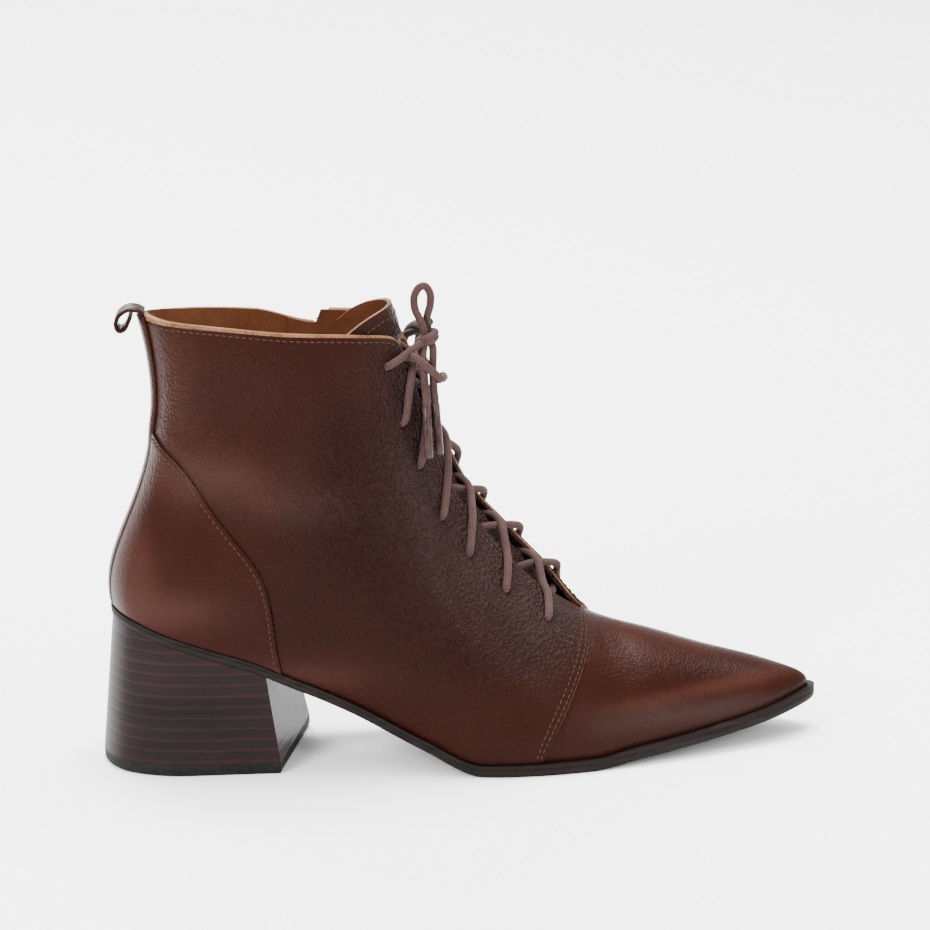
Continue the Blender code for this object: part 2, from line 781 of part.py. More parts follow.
def build_tongue():
    """Tongue under the facings, its root under the vamp and its wide top above the collar."""
    finish = material("leather_tongue", (0.07, 0.024, 0.014), 0.45)
    stations = [s for s in upper_sections() if THROAT_TOP - 0.1 < s < VAMP_SEAM - 0.2]
    rows = [tongue_row(s, -WALL - 2 * GAP) for s in stations]
    top = [np.array(p) / 1000.0 for p in TONGUE_TOP]
    between = [[a + (b - a) * share for a, b in zip(top, rows[0])] for share in (1 / 3, 2 / 3)]
    sheet = [top] + between + rows
    return place("tongue", shell_between("tongue", sheet, thickened(sheet, TONGUE_THICKNESS)), finish)


def build_insole():
    """Board inside the upper, on the sole."""
    finish = material("insole_tan", (0.35, 0.17, 0.08), 0.7)
    inset = -(WALL + 2 * GAP)
    rungs = []
    for s in foot_sections(0.35, TIP - 0.5, 2):
        a, b = plan(s, inset), plan(-s, inset)
        low = [sole_top(p[0]) + GAP for p in (a, b)]
        rungs.append([
            np.array((a[0], a[1], low[0])),
            np.array((b[0], b[1], low[1])),
            np.array((b[0], b[1], low[1] + INSOLE_THICKNESS)),
            np.array((a[0], a[1], low[0] + INSOLE_THICKNESS)),
        ])
    shell = Shell()
    for a, b in zip(rungs[:-1], rungs[1:]):
        for k in range(4):
            m = (k + 1) % 4
            shell.face([a[k], a[m], b[m], b[k]])
    shell.face(rungs[0][::-1])
    shell.face(rungs[-1])
    return place("insole", shell.mesh("insole"), finish)


# Free runs of the lace in millimetres: name, then points along, across, up
CORDS = (
    ("lace_knot", (
        (82.2, -19.4, 158.4), (86.4, -17.0, 160.2), (90.4, -12.4, 162.2), (94.0, -8.0, 163.4), (96.4, -4.0, 164.6),
        (96.0, 0.6, 165.2), (94.0, 6.4, 164.4), (90.8, 12.4, 162.8), (87.0, 17.2, 160.4), (82.8, 19.8, 158.6),
    )),
    ("lace_loop_up", (
        (94.8, -6.0, 166.2), (93.4, -6.2, 171.0), (91.4, -5.4, 175.6), (91.2, -4.8, 180.2), (93.0, -4.4, 183.6),
        (95.6, -4.0, 184.2), (97.4, -3.6, 181.0), (97.2, -3.2, 176.6), (95.8, -2.6, 171.6), (96.0, -2.4, 167.2),
    )),
    ("lace_loop_side", (
        (93.8, 0.4, 167.8), (91.6, 7.6, 168.4), (89.8, 14.8, 166.6), (87.8, 22.6, 161.0), (85.2, 27.6, 151.4),
        (84.6, 30.4, 142.6), (87.6, 31.2, 138.2), (90.8, 29.0, 142.0), (91.2, 25.2, 150.6), (92.4, 20.4, 159.4),
        (94.0, 13.8, 166.4), (95.8, 6.4, 168.6), (96.8, 3.6, 168.8),
    )),
    ("lace_end_front", (
        (97.6, -6.6, 162.0), (97.3, -10.0, 154.2), (97.3, -13.0, 147.6), (97.6, -15.4, 141.8),
    )),
    ("lace_end_back", (
        (93.6, -10.2, 160.6), (93.9, -13.4, 153.6), (94.1, -16.2, 147.4), (94.3, -18.4, 141.4),
    )),
)
AGLETS = (
    ("aglet_front", (97.62, -15.6, 141.1), (98.6, -18.5, 121.3)),
    ("aglet_back", (94.31, -18.6, 140.8), (94.5, -22.9, 121.2)),
)


def tube(name, points, diameter, finish=None):
    """Round cord through points, its ends closed."""
    curve = bpy.data.curves.new(name, "CURVE")
    curve.dimensions = "3D"
    curve.bevel_depth = diameter / 2
    curve.bevel_resolution = 2
    curve.use_fill_caps = True
    spline = curve.splines.new("POLY")
    spline.points.add(len(points) - 1)
    for spot, p in zip(spline.points, points):
        spot.co = (float(p[0]), float(p[1]), float(p[2]), 1.0)
    obj = bpy.data.objects.new(name, curve)
    if finish is None:
        CUTTERS.objects.link(obj)
        obj.hide_render = True
    else:
        PARTS.objects.link(obj)
        curve.materials.append(finish)
    return obj


def tube_mesh(name, points, diameter):
    """Round cord through points as one closed mesh."""
    guide = tube(name, points, diameter)
    view = bpy.context.evaluated_depsgraph_get()
    mesh = bpy.data.meshes.new_from_object(guide.evaluated_get(view))
    bpy.data.objects.remove(guide, do_unlink=True)
    bm = bmesh.new()
    bm.from_mesh(mesh)
    bmesh.ops.remove_doubles(bm, verts=bm.verts[:], dist=1e-6)
    bmesh.ops.recalc_face_normals(bm, faces=bm.faces[:])
    bm.to_mesh(mesh)
    bm.free()
    return mesh


def crossing_run(side):
    """Zigzag from the lowest eyelet on one side up to the top crossing, outside both facings."""
    out = CORD_DIAMETER / 2 + CORD_LIFT
    turn = 0.09
    points = []
    for k in range(len(EYELETS) - 1, 0, -1):
        low, low_height = EYELETS[k]
        high, high_height = EYELETS[k - 1]
        high = max(high, THROAT_TOP)
        step = high - low
        points.append(skin(side * (low - turn), low_height, out))
        points.append(skin(side * (low + 0.3 * step), 1.0, out))
        middle = low + 0.5 * step
        points.append((skin(middle, 1.0, out) + skin(-middle, 1.0, out)) / 2)
        beyond = skin(-side * (low + 0.7 * step), 1.0, out)
        if k == 1:
            points.append((points[-1] + beyond) / 2)
        else:
            points.append(beyond)
            points.append(skin(-side * (high + turn), high_height, out))
        side = -side
    return points


def build_laces():
    """Crossings as one solid, then knot, loops, ends and their tips."""
    finish = material("lace_brown", (0.19, 0.11, 0.085), 0.8)
    tip = material("lace_tip", (0.25, 0.18, 0.15), 0.25)
    crossings = place("lace_crossings", tube_mesh("lace_crossings", crossing_run(1.0), CORD_DIAMETER), finish)
    other = cutter("lace_crossings_other", tube_mesh("lace_crossings_other", crossing_run(-1.0), CORD_DIAMETER))
    cut(crossings, other, "UNION")
    for name, points in CORDS:
        tube(name, [np.array(p) / 1000.0 for p in points], CORD_DIAMETER, finish)
    for name, start, end in AGLETS:
        tube(name, [np.array(start) / 1000.0, np.array(end) / 1000.0], AGLET_DIAMETER, tip)


def zip_frame(height):
    """Point on the last in the zip's middle, and its directions: forward, up along the zip, outward."""
    origin = last(-ZIP_SECTION, height)
    up = last(-ZIP_SECTION, height + 0.02) - last(-ZIP_SECTION, height - 0.02)
    up = up / np.linalg.norm(up)
    out = last_normal(-ZIP_SECTION, height)
    out = out - up * np.dot(out, up)
    out = out / np.linalg.norm(out)
    return origin, np.cross(out, up), up, out


def framed_block(frame, outline, low, high, axis):
    """Closed block with an outline in two of a frame's directions, from low to high in the third."""
    origin = frame[0]
    plane = [frame[1 + k] for k in range(3) if k != axis]
    through = frame[1 + axis]
    shell = Shell()
    near = [origin + plane[0] * a + plane[1] * b + through * low for a, b in outline]
    far = [origin + plane[0] * a + plane[1] * b + through * high for a, b in outline]
    shell.face(near)
    shell.face(far[::-1])
    for k in range(len(outline)):
        m = (k + 1) % len(outline)
        shell.face([near[m], near[k], far[k], far[m]])
    return shell.mesh("block")


def box_outline(width, length):
    """Corners of a rectangle about the middle."""
    return [(-width / 2, -length / 2), (width / 2, -length / 2), (width / 2, length / 2), (-width / 2, length / 2)]


def circle(radius, count, shift=0.0, start=0.0):
    """Points round a circle moved along its second direction."""
    angles = [start + 2 * math.pi * k / count for k in range(count)]
    return [(radius * math.cos(a), shift + radius * math.sin(a)) for a in angles]


def framed_ring(frame, radius, hole, half):
    """Short tube about a frame's first direction."""
    count = 12
    sheets = []
    for r in (radius, hole):
        spots = circle(r, count)
        spots.append(spots[0])
        ends = [frame[0] + frame[1] * side for side in (-half, half)]
        sheets.append([[end + frame[2] * a + frame[3] * b for end in ends] for a, b in spots])
    return shell_between("ring", sheets[0], sheets[1])


def build_zip():
    """Tape behind the slot, the closed row of teeth, slider and pull tab."""
    cloth = material("zip_tape_dark", (0.03, 0.015, 0.012), 0.85)
    metal = material("zip_metal", (0.22, 0.18, 0.13), 0.35, 0.9)
    rear, front = slot_edges()
    spare = 0.45
    sections = [s for s in upper_sections() if -front - spare < s < -rear + spare]
    heights = [h for h in HEIGHTS if h > ZIP_BOTTOM - 0.1]
    behind = -WALL - GAP
    skin_piece("zip_tape", sections, heights, behind - ZIP_TAPE_THICKNESS, behind, cloth)
    half = width_to_sections(-ZIP_SECTION, 0.8, ZIP_TEETH_WIDTH / 2)
    heights = [ZIP_BOTTOM + 0.01] + [h for h in HEIGHTS if h > ZIP_BOTTOM]
    ends = [-ZIP_SECTION - half, -ZIP_SECTION + half]
    skin_piece("zip_teeth", ends, heights, -WALL, -WALL + ZIP_TEETH_THICKNESS, metal)

    frame = zip_frame(SLIDER_PLACE)
    low = -WALL + ZIP_TEETH_THICKNESS + 2 * GAP
    face = low + SLIDER_THICKNESS
    body = framed_block(frame, box_outline(SLIDER_WIDTH, SLIDER_LENGTH), low, face, 2)
    slider = place("zip_slider", body, metal)
    bar = face + BAR_RISE
    for side in (1.0, -1.0):
        ends = sorted((side * SLIDER_WIDTH / 2, side * (SLIDER_WIDTH / 2 - POST_WIDTH)))
        outline = [
            (-POST_LENGTH / 2, face - 0.0005), (POST_LENGTH / 2, face - 0.0005),
            (POST_LENGTH / 2, bar), (0.0, bar + BAR_DIAMETER), (-POST_LENGTH / 2, bar),
        ]
        cut(slider, cutter("slider_post", framed_block(frame, outline, ends[0], ends[1], 0)), "UNION")
    round_bar = [(a, bar + b) for a, b in circle(BAR_DIAMETER / 2, 8)]
    reach = SLIDER_WIDTH / 2 - POST_WIDTH / 2
    cut(slider, cutter("slider_bar", framed_block(frame, round_bar, -reach, reach, 0)), "UNION")

    lean = math.radians(PULL_LEAN)
    hinge = frame[0] + frame[3] * bar
    down = frame[2] * math.cos(lean) - frame[3] * math.sin(lean)
    away = frame[3] * math.cos(lean) + frame[2] * math.sin(lean)
    tilted = (hinge, frame[1], down, away)
    eye = PULL_EYE / 2
    neck = PULL_NECK / 2
    wide = PULL_WIDTH / 2
    shoulder = POST_LENGTH / 2 + BAR_DIAMETER
    top = -(eye + PULL_HOLE / 2) / 2
    outline = [
        (neck, top), (-neck, top), (-neck, -shoulder), (-wide, -shoulder - neck), (-wide, -PULL_LENGTH + neck),
        (-0.5 * wide, -PULL_LENGTH), (0.5 * wide, -PULL_LENGTH), (wide, -PULL_LENGTH + neck),
        (wide, -shoulder - neck), (neck, -shoulder),
    ]
    half = PULL_THICKNESS / 2
    pull = place("zip_pull", framed_block(tilted, outline, -half, half, 2), metal)
    cut(pull, cutter("pull_eye", framed_ring(tilted, eye, PULL_HOLE / 2, 0.8 * neck)), "UNION")


def main():
    for obj in list(bpy.data.objects):
        bpy.data.objects.remove(obj, do_unlink=True)
    bpy.context.scene.collection.children.link(PARTS)
    bpy.context.scene.collection.children.link(CUTTERS)
    build_outsole()
    build_heel()
    build_upper()
    build_counters()
    build_backstay()
    build_pull_loop()
    build_tongue()
    build_insole()
    build_laces()
    build_zip()


main()
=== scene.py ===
"""Looks of the lace up ankle boot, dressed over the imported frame.

Metres, +X to the toe, +Y to the inner side, +Z up. A place on the leather is a section (0 at the back,
outer side above 0, toe tip 17) and a height (0 at the feather, 1 at the top edge).
"""

import math

import bmesh
import bpy
import numpy as np
from mathutils import Matrix, Vector


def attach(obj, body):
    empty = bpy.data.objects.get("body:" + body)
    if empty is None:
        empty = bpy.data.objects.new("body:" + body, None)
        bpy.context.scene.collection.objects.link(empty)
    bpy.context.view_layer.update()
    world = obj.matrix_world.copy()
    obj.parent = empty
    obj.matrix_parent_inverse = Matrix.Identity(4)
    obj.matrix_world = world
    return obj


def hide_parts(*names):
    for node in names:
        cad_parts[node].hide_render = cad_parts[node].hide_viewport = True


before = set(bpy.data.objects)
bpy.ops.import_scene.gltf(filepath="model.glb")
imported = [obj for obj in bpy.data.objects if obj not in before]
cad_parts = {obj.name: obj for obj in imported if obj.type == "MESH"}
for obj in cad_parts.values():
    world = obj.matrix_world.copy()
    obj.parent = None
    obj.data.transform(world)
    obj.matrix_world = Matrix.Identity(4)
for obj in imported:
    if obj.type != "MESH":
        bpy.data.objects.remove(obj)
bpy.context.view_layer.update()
BOOT = "boot"
MM = 0.001

# Camera: the photo's view in the boot's own frame
CAMERA_BACK = 2.0
CAMERA_HEIGHT = 0.65
CAMERA_ROLL = 2.28
CAMERA_TARGET = (0.102, 0.003, 0.090)
TARGET_PIXEL = (451.157, 518.156)
PIXELS_PER_MM = 2.58
IMAGE_SIZE = 930
SENSOR = 36.0


def make_camera():
    """Camera at the photo's angle, level with what it saw and rolled as it was."""
    target = Vector(CAMERA_TARGET)
    rise = math.atan((CAMERA_HEIGHT - target.z) / CAMERA_BACK)
    distance = math.hypot(CAMERA_BACK, CAMERA_HEIGHT - target.z)
    back = Vector((0.0, -math.cos(rise), math.sin(rise)))
    right = Vector((1.0, 0.0, 0.0))
    up = back.cross(right)
    roll = math.radians(CAMERA_ROLL)
    turned_right = right * math.cos(roll) - up * math.sin(roll)
    turned_up = up * math.cos(roll) + right * math.sin(roll)
    data = bpy.data.cameras.new("camera")
    data.sensor_width = SENSOR
    data.lens = PIXELS_PER_MM * distance * 1000.0 * SENSOR / IMAGE_SIZE
    data.shift_x = -(TARGET_PIXEL[0] - IMAGE_SIZE / 2) / IMAGE_SIZE
    data.shift_y = (TARGET_PIXEL[1] - IMAGE_SIZE / 2) / IMAGE_SIZE
    data.clip_start = 0.1
    data.clip_end = 20.0
    camera = bpy.data.objects.new("camera", data)
    bpy.context.scene.collection.objects.link(camera)
    place = target + back * distance
    rows = [(turned_right[k], turned_up[k], back[k], place[k]) for k in range(3)]
    camera.matrix_world = Matrix(rows + [(0.0, 0.0, 0.0, 1.0)])
    bpy.context.scene.camera = camera


make_camera()

# Sizes of the last, as in the part
LAST_LENGTH = 0.269
LAST_BACK = -0.0295
BALL_WIDTH = 0.086
SHAFT = 0.1145
HEEL_HEIGHT = 0.0592
TOE_SPRING = 0.0126
GAP = 0.0003
WALL = 0.0025
VAMP_DROP = 0.0009
SOLE_THICKNESS = 0.0045
SOLE_EDGE = 0.0019
HEEL_LENGTH = 0.058
HEEL_FLARE_BACK = 0.0062
HEEL_FLARE_FRONT = 0.0042
HEEL_BASE_WIDTH = 0.060
BREAST_SKEW = 0.0085
TOP_PIECE = 0.0045
COUNTER_THICKNESS = 0.0010
STRIP_WIDTH = 0.0125
STRIP_THICKNESS = 0.0015
CORD_DIAMETER = 0.0030
AGLET_DIAMETER = 0.0034
EYELET_DIAMETER = 0.0038
ZIP_SECTION = 3.42
ZIP_WIDTH = 0.0060
ZIP_BOTTOM = 0.20

# Underside of the sole: share of the length, of the heel's height, of the toe spring
PROFILE = (
    (-0.020, 1.010, 0.0), (0.020, 0.970, 0.0), (0.058, 0.905, 0.0), (0.110, 0.818, 0.0), (0.151, 0.752, 0.0),
    (0.199, 0.676, 0.0), (0.236, 0.597, 0.0), (0.299, 0.468, 0.0), (0.355, 0.342, 0.0), (0.407, 0.223, 0.0),
    (0.452, 0.125, 0.0), (0.481, 0.054, 0.0), (0.504, 0.013, 0.0), (0.519, 0.0, 0.0), (0.675, 0.0, 0.0),
    (0.745, 0.0, 0.19), (0.816, 0.0, 0.35), (0.887, 0.0, 0.54), (0.942, 0.0, 0.73), (1.010, 0.0, 1.0),
)
# Thickness of the sole: share of the length, share of the full thickness
PLATE = ((-0.02, 0.84), (0.23, 0.88), (0.50, 1.0), (0.75, 1.05), (1.01, 1.16))

# Section: foot along, foot out, top along, top out, top above the sole, leave x 3, reach x 3
OUTER_SECTIONS = (
    (0.0, 0.0, 5.9, 0.0, 104.8, -2.4, 0.0, 25.8, 5.9, 0.0, -58.5),
    (2.2, 19.8, 8.4, 15.1, 106.6, -1.7, 5.2, 25.3, 4.1, 3.5, -57.6),
    (9.9, 31.4, 15.1, 25.6, 111.4, -0.4, 5.2, 24.5, 1.5, 4.7, -54.1),
    (22.1, 32.1, 26.6, 31.2, 119.9, 0.0, 5.8, 26.2, 0.0, 3.5, -48.0),
    (33.3, 33.7, 37.0, 25.6, 129.1, 0.7, 9.3, 27.9, -1.1, 9.3, -43.7),
    (39.2, 39.1, 41.6, 17.7, 132.1, 1.1, 9.3, 29.7, -2.2, 14.0, -40.2),
    (42.9, 43.5, 43.3, 12.3, 127.2, 1.1, 8.1, 30.6, -3.3, 18.6, -34.9),
    (47.0, 47.9, 45.0, 11.2, 116.0, 0.7, 5.8, 31.4, -4.5, 20.9, -27.9),
    (50.7, 51.3, 47.2, 10.2, 101.8, 0.7, 4.7, 31.4, -4.5, 20.9, -21.8),
    (54.1, 53.3, 50.0, 9.1, 85.4, 0.4, 4.1, 27.9, -3.7, 22.1, -15.7),
    (56.7, 53.8, 54.6, 8.1, 70.8, 0.0, 3.5, 25.3, -2.6, 23.3, -10.5),
    (58.9, 53.7, 60.4, 7.3, 54.8, 0.7, 3.5, 21.8, -0.7, 23.3, -6.1),
    (60.6, 53.5, 67.1, 0.0, 42.3, 3.0, 2.9, 15.7, 3.7, 25.6, -3.5),
    (66.7, 50.7, 70.8, -0.3, 37.8, 1.5, 2.9, 14.0, 1.9, 23.3, -1.7),
    (76.0, 41.9, 76.8, -0.7, 31.3, 0.4, 2.9, 12.2, 0.4, 19.8, -0.3),
    (86.1, 28.8, 84.2, -1.3, 23.3, 0.0, 2.3, 9.6, 0.0, 15.1, 0.0),
    (95.0, 14.4, 91.6, -1.9, 15.5, 0.4, 1.5, 6.6, 0.7, 9.3, -0.5),
    (100.0, -3.5, 96.8, -2.3, 9.0, 0.2, 0.0, 3.5, 1.7, -0.6, -1.4),
)
INNER_SECTIONS = (
    (0.0, 0.0, 5.9, 0.0, 104.8, -2.4, 0.0, 25.8, 5.9, 0.0, -58.5),
    (2.2, 19.8, 8.4, 14.5, 105.6, -1.7, 5.2, 25.3, 4.1, 3.5, -57.6),
    (9.9, 30.8, 15.1, 24.2, 109.7, -0.4, 5.2, 24.5, 1.5, 4.7, -54.1),
    (22.1, 29.1, 26.6, 30.2, 118.2, 0.0, 5.8, 26.2, 0.0, 4.7, -48.0),
    (33.3, 26.2, 37.0, 25.0, 129.6, 0.7, 10.5, 26.2, -1.1, 10.5, -43.7),
    (38.5, 25.6, 41.6, 17.4, 132.8, 1.1, 11.6, 27.9, -2.2, 15.1, -40.2),
    (42.6, 26.7, 43.5, 12.6, 128.3, 1.1, 11.6, 29.7, -3.3, 19.8, -34.9),
    (47.0, 30.2, 45.4, 11.5, 117.3, 0.7, 10.5, 31.4, -4.5, 20.9, -27.9),
    (51.1, 34.9, 48.0, 10.7, 102.5, 0.7, 8.1, 31.4, -4.5, 19.8, -21.8),
    (54.8, 39.3, 51.1, 9.7, 86.9, 0.4, 6.4, 27.9, -3.7, 20.9, -15.7),
    (58.6, 43.0, 55.9, 8.4, 72.7, 0.0, 5.2, 25.3, -2.6, 22.1, -10.5),
    (62.3, 45.7, 61.7, 7.9, 56.9, 0.4, 4.1, 22.7, -0.7, 22.1, -6.1),
    (66.0, 46.7, 67.1, 0.0, 42.3, 1.5, 3.5, 18.3, 3.0, 23.3, -2.8),
    (70.4, 45.3, 70.8, 0.3, 37.8, 1.1, 3.5, 14.8, 1.9, 22.1, -1.7),
    (78.3, 39.3, 76.8, 0.7, 31.3, 0.4, 2.9, 12.2, 0.4, 19.8, -0.3),
    (87.2, 28.5, 84.2, 1.3, 23.3, 0.0, 2.3, 9.6, 0.0, 15.1, 0.0),
    (95.4, 16.3, 91.6, 1.9, 15.5, 0.4, 1.5, 6.6, 0.7, 9.3, -0.5),
    (100.0, 3.5, 96.8, 2.3, 9.0, 0.2, 0.0, 3.5, 1.7, 0.6, -1.4),
)
TIP = float(len(OUTER_SECTIONS) - 1)
THROAT_TOP = 6.0
VAMP_SEAM = 12.0
SEAM_STEP = 0.012
# The counter's seam and the eyelets: section, height
COUNTER_EDGE = (
    (0.0, 0.735), (0.93, 0.702), (1.56, 0.655), (2.01, 0.575), (2.32, 0.498),
    (2.62, 0.416), (2.84, 0.346), (2.98, 0.262), (3.04, 0.180), (3.14, 0.0),
)
EYELETS = (
    (5.01, 0.923), (6.48, 0.842), (7.59, 0.833), (8.66, 0.818), (9.55, 0.805), (10.46, 0.781), (11.28, 0.768),
)


def curve_through(table):
    """Function that gives smooth values between a table's rows, first column the station."""
    x = np.array([r[0] for r in table], float)
    y = np.array([r[1:] for r in table], float)
    steps = np.diff(x)[:, None]
    rise = np.diff(y, axis=0) / steps
    same = rise[:-1] * rise[1:] > 0
    total = np.where(same, rise[:-1] + rise[1:], 1.0)
    inside = np.where(same, 2.0 * rise[:-1] * rise[1:] / total, 0.0)
    slope = np.vstack([rise[:1], inside, rise[-1:]])

    def value(at):
        at = np.asarray(at, float)
        k = np.clip(np.searchsorted(x, at, side="right") - 1, 0, len(x) - 2)
        step = (x[k + 1] - x[k])[..., None]
        t = ((at - x[k])[..., None]) / step
        a = 2 * t**3 - 3 * t**2 + 1
        b = t**3 - 2 * t**2 + t
        c = -2 * t**3 + 3 * t**2
        d = t**3 - t**2
        return a * y[k] + b * step * slope[k] + c * y[k + 1] + d * step * slope[k + 1]

    return value


profile_at = curve_through(PROFILE)
plate_at = curve_through(PLATE)


def sole_under(x):
    """Height of the sole's underside at x."""
    share = profile_at((np.asarray(x) - LAST_BACK) / LAST_LENGTH)
    return share[..., 0] * HEEL_HEIGHT + share[..., 1] * TOE_SPRING


def sole_top(x):
    """Height of the sole's upper face at x."""
    return sole_under(x) + plate_at((np.asarray(x) - LAST_BACK) / LAST_LENGTH)[..., 0] * SOLE_THICKNESS


def section_table():
    """All sections in one loop, inner tip to outer tip, with two more at each end."""
    rows = []
    for sign, table in ((1.0, INNER_SECTIONS), (-1.0, OUTER_SECTIONS)):
        part = []
        for i, row in enumerate(table):
            v = [n / 100.0 for n in row]
            top_x = LAST_BACK + v[2] * LAST_LENGTH
            wide = sign * BALL_WIDTH
            part.append((
                -sign * i,
                LAST_BACK + v[0] * LAST_LENGTH, v[1] * wide,
                top_x, v[3] * wide, float(sole_top(top_x)) + v[4] * SHAFT,
                v[5] * LAST_LENGTH, v[6] * wide, v[7] * SHAFT,
                v[8] * LAST_LENGTH, v[9] * wide, v[10] * SHAFT,
            ))
        rows += part[::-1] if sign > 0 else part[1:]
    before = [(r[0] - 2 * TIP,) + r[1:] for r in rows[-3:-1]]
    after = [(r[0] + 2 * TIP,) + r[1:] for r in rows[1:3]]
    return before + rows + after


section_at = curve_through(section_table())


def last(section, height):
    """Points on the last."""
    s, h = np.broadcast_arrays(np.asarray(section, float), np.asarray(height, float))
    c = section_at(s)
    foot = np.stack([c[..., 0], c[..., 1], sole_top(c[..., 0]) + GAP], -1)
    top = c[..., 2:5]
    leave = foot + c[..., 5:8]
    reach = top + c[..., 8:11]
    t = h[..., None]
    return (1 - t)**3 * foot + 3 * t * (1 - t)**2 * leave + 3 * t * t * (1 - t) * reach + t**3 * top


def last_normal(section, height):
    """Outward directions of the last."""
    h = np.clip(height, 0.004, 0.996)
    along = last(np.asarray(section) + 0.01, h) - last(np.asarray(section) - 0.01, h)
    up = last(section, h + 0.004) - last(section, h - 0.004)
    return unit(np.cross(along, up))


def unit(v):
    """Directions of length 1."""
    return v / np.linalg.norm(v, axis=-1, keepdims=True)


def run_along(path):
    """Distance from a path's start to each of its points."""
    return np.concatenate([[0.0], np.cumsum(np.linalg.norm(np.diff(path, axis=0), axis=1))])


def value_at(distance, run, rows):
    """A place or direction between rows, at a distance along their path."""
    return np.array([np.interp(distance, run, rows[:, k]) for k in range(3)])


def soft_step(t):
    """Smooth rise from 0 to 1."""
    t = np.clip(t, 0.0, 1.0)
    return t * t * (3 - 2 * t)


# Soft troughs and ridges in side view, in mm: side (1 outer, -1 inner), x and z of both ends, width, depth
# (a ridge has a depth below 0)
CREASES = (
    (1, 69, 160, 71, 132, 6.0, -0.7),
    (1, 77, 163, 80, 136, 4.0, 0.8),
    (1, 84, 150, 87, 141, 2.6, 0.7),
    (1, 88, 131, 91, 122, 2.4, 0.6),
    (1, 93, 112, 97, 102, 2.6, 0.7),
    (1, 84, 126, 87, 112, 3.5, -0.7),
    (1, 92, 104, 95, 92, 3.5, -0.5),
    (1, 103, 92, 109, 84, 2.8, 0.6),
    (1, 114, 77, 122, 70, 2.8, 0.5),
    (1, -6, 131, 22, 123, 7.0, -0.7),
    (1, 22, 123, 58, 106, 9.0, -0.7),
    (1, 2, 119, 44, 99, 6.0, 0.5),
    (1, 60, 108, 96, 76, 9.0, 0.4),
    (1, -7, 117, -4, 108, 0.9, 0.22),
    (1, -4, 118, -1, 109, 0.8, 0.22),
    (1, -1, 116, 1, 108, 0.8, 0.18),
    (1, 160, 43, 167, 33, 1.8, 0.22),
    (1, 166, 43, 172, 34, 1.8, 0.22),
    (-1, 70, 160, 72, 130, 6.0, -0.6),
    (-1, 78, 163, 81, 136, 4.0, 0.7),
    (-1, 20, 128, 46, 112, 8.0, -0.8),
    (-1, 24, 118, 50, 98, 6.0, 0.6),
    (-1, 86, 126, 90, 110, 3.5, -0.6),
    (-1, 94, 104, 98, 90, 3.5, -0.5),
    (-1, -6, 128, 12, 120, 6.0, -0.5),
    (-1, 160, 43, 168, 32, 2.0, 0.25),
)
PUCKER_WIDTH = 3.6
PUCKER_DEPTH = 0.7


def relief(points, section):
    """How far the leather stands in or out at points, from the creases and the puckers at the eyelets."""
    x = points[..., 0] / MM
    z = points[..., 2] / MM
    moved = np.zeros(x.shape)
    for side, x0, z0, x1, z1, width, depth in CREASES:
        length = math.hypot(x1 - x0, z1 - z0)
        run_x = (x1 - x0) / length
        run_z = (z1 - z0) / length
        t = (x - x0) * run_x + (z - z0) * run_z
        across = -(x - x0) * run_z + (z - z0) * run_x
        past = np.maximum(np.maximum(-t, t - length), 0.0)
        fade = np.exp(-(across / width)**2 - (past / (2.0 * width))**2)
        moved -= np.where(section * side > 0, depth, 0.0) * fade
    for s, h in EYELETS:
        for side in (1.0, -1.0):
            centre = last(side * s, h)
            d = np.linalg.norm(points - centre, axis=-1) / MM
            moved -= PUCKER_DEPTH * np.exp(-(d / PUCKER_WIDTH)**2)
    return moved * MM


# How far the inner rear quarter slumps, and the section and height where that begins
COLLAR_SAG = 0.0050
SAG_FROM = 2.55
SAG_HEIGHT = 0.8


def sag(section, height):
    """How far the inner rear quarter slumps beside the open top of the zip."""
    s = -np.asarray(section)
    share = soft_step((s - SAG_FROM) / (ZIP_SECTION - 0.08 - SAG_FROM)) * (s < ZIP_SECTION) * (s > 0)
    return COLLAR_SAG * share * soft_step((np.asarray(height) - SAG_HEIGHT) / (1 - SAG_HEIGHT))


# How far the inner facing stands off, the section where that begins, over how many it grows, and its height
GAPE = 0.0016
GAPE_FROM = 6.5
GAPE_OVER = 4.0
GAPE_HEIGHT = 0.86
# Share of the height over which creases fade out above the sole
QUIET_FOOT = 0.08


def gape(section, height):
    """How far the inner facing's free edge stands off near the vamp."""
    s = -np.asarray(section)
    near = soft_step((s - GAPE_FROM) / GAPE_OVER) * (s > 0) * (s < VAMP_SEAM)
    return GAPE * near * soft_step((np.asarray(height) - GAPE_HEIGHT) / (1 - GAPE_HEIGHT))


def skin(section, height, out, dressed=True):
    """Points a distance outside the last, kept above the sole at the foot."""
    s, h = np.broadcast_arrays(np.asarray(section, float), np.asarray(height, float))
    o = np.broadcast_to(np.asarray(out, float), s.shape)
    base = last(s, h)
    n = last_normal(s, h)
    if dressed:
        o = o + relief(base, s) * soft_step(h / QUIET_FOOT)
    p = base + n * o[..., None]
    p[..., 2] -= sag(s, h)
    p = p + n * gape(s, h)[..., None]
    foot = h < 1e-6
    p[..., 2] = np.where(foot, sole_top(p[..., 0]) + GAP, p[..., 2])
    return p


def sections_for(section, height, width):
    """How many sections a width along the leather takes."""
    run = last(section + 0.02, height) - last(section - 0.02, height)
    return width / (np.linalg.norm(run) / 0.04)


def plan(section, out):
    """Points of the feather line moved outward in plan."""
    s = np.asarray(section, float)
    d = unit((last(s + 0.02, 0.0) - last(s - 0.02, 0.0))[..., :2])
    p = last(s, 0.0)[..., :2]
    return np.stack([p[..., 0] + d[..., 1] * out, p[..., 1] - d[..., 0] * out], -1)


def new_object(name, mesh):
    """Object in the scene that rides on the boot."""
    obj = bpy.data.objects.new(name, mesh)
    bpy.context.scene.collection.objects.link(obj)
    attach(obj, BOOT)
    return obj


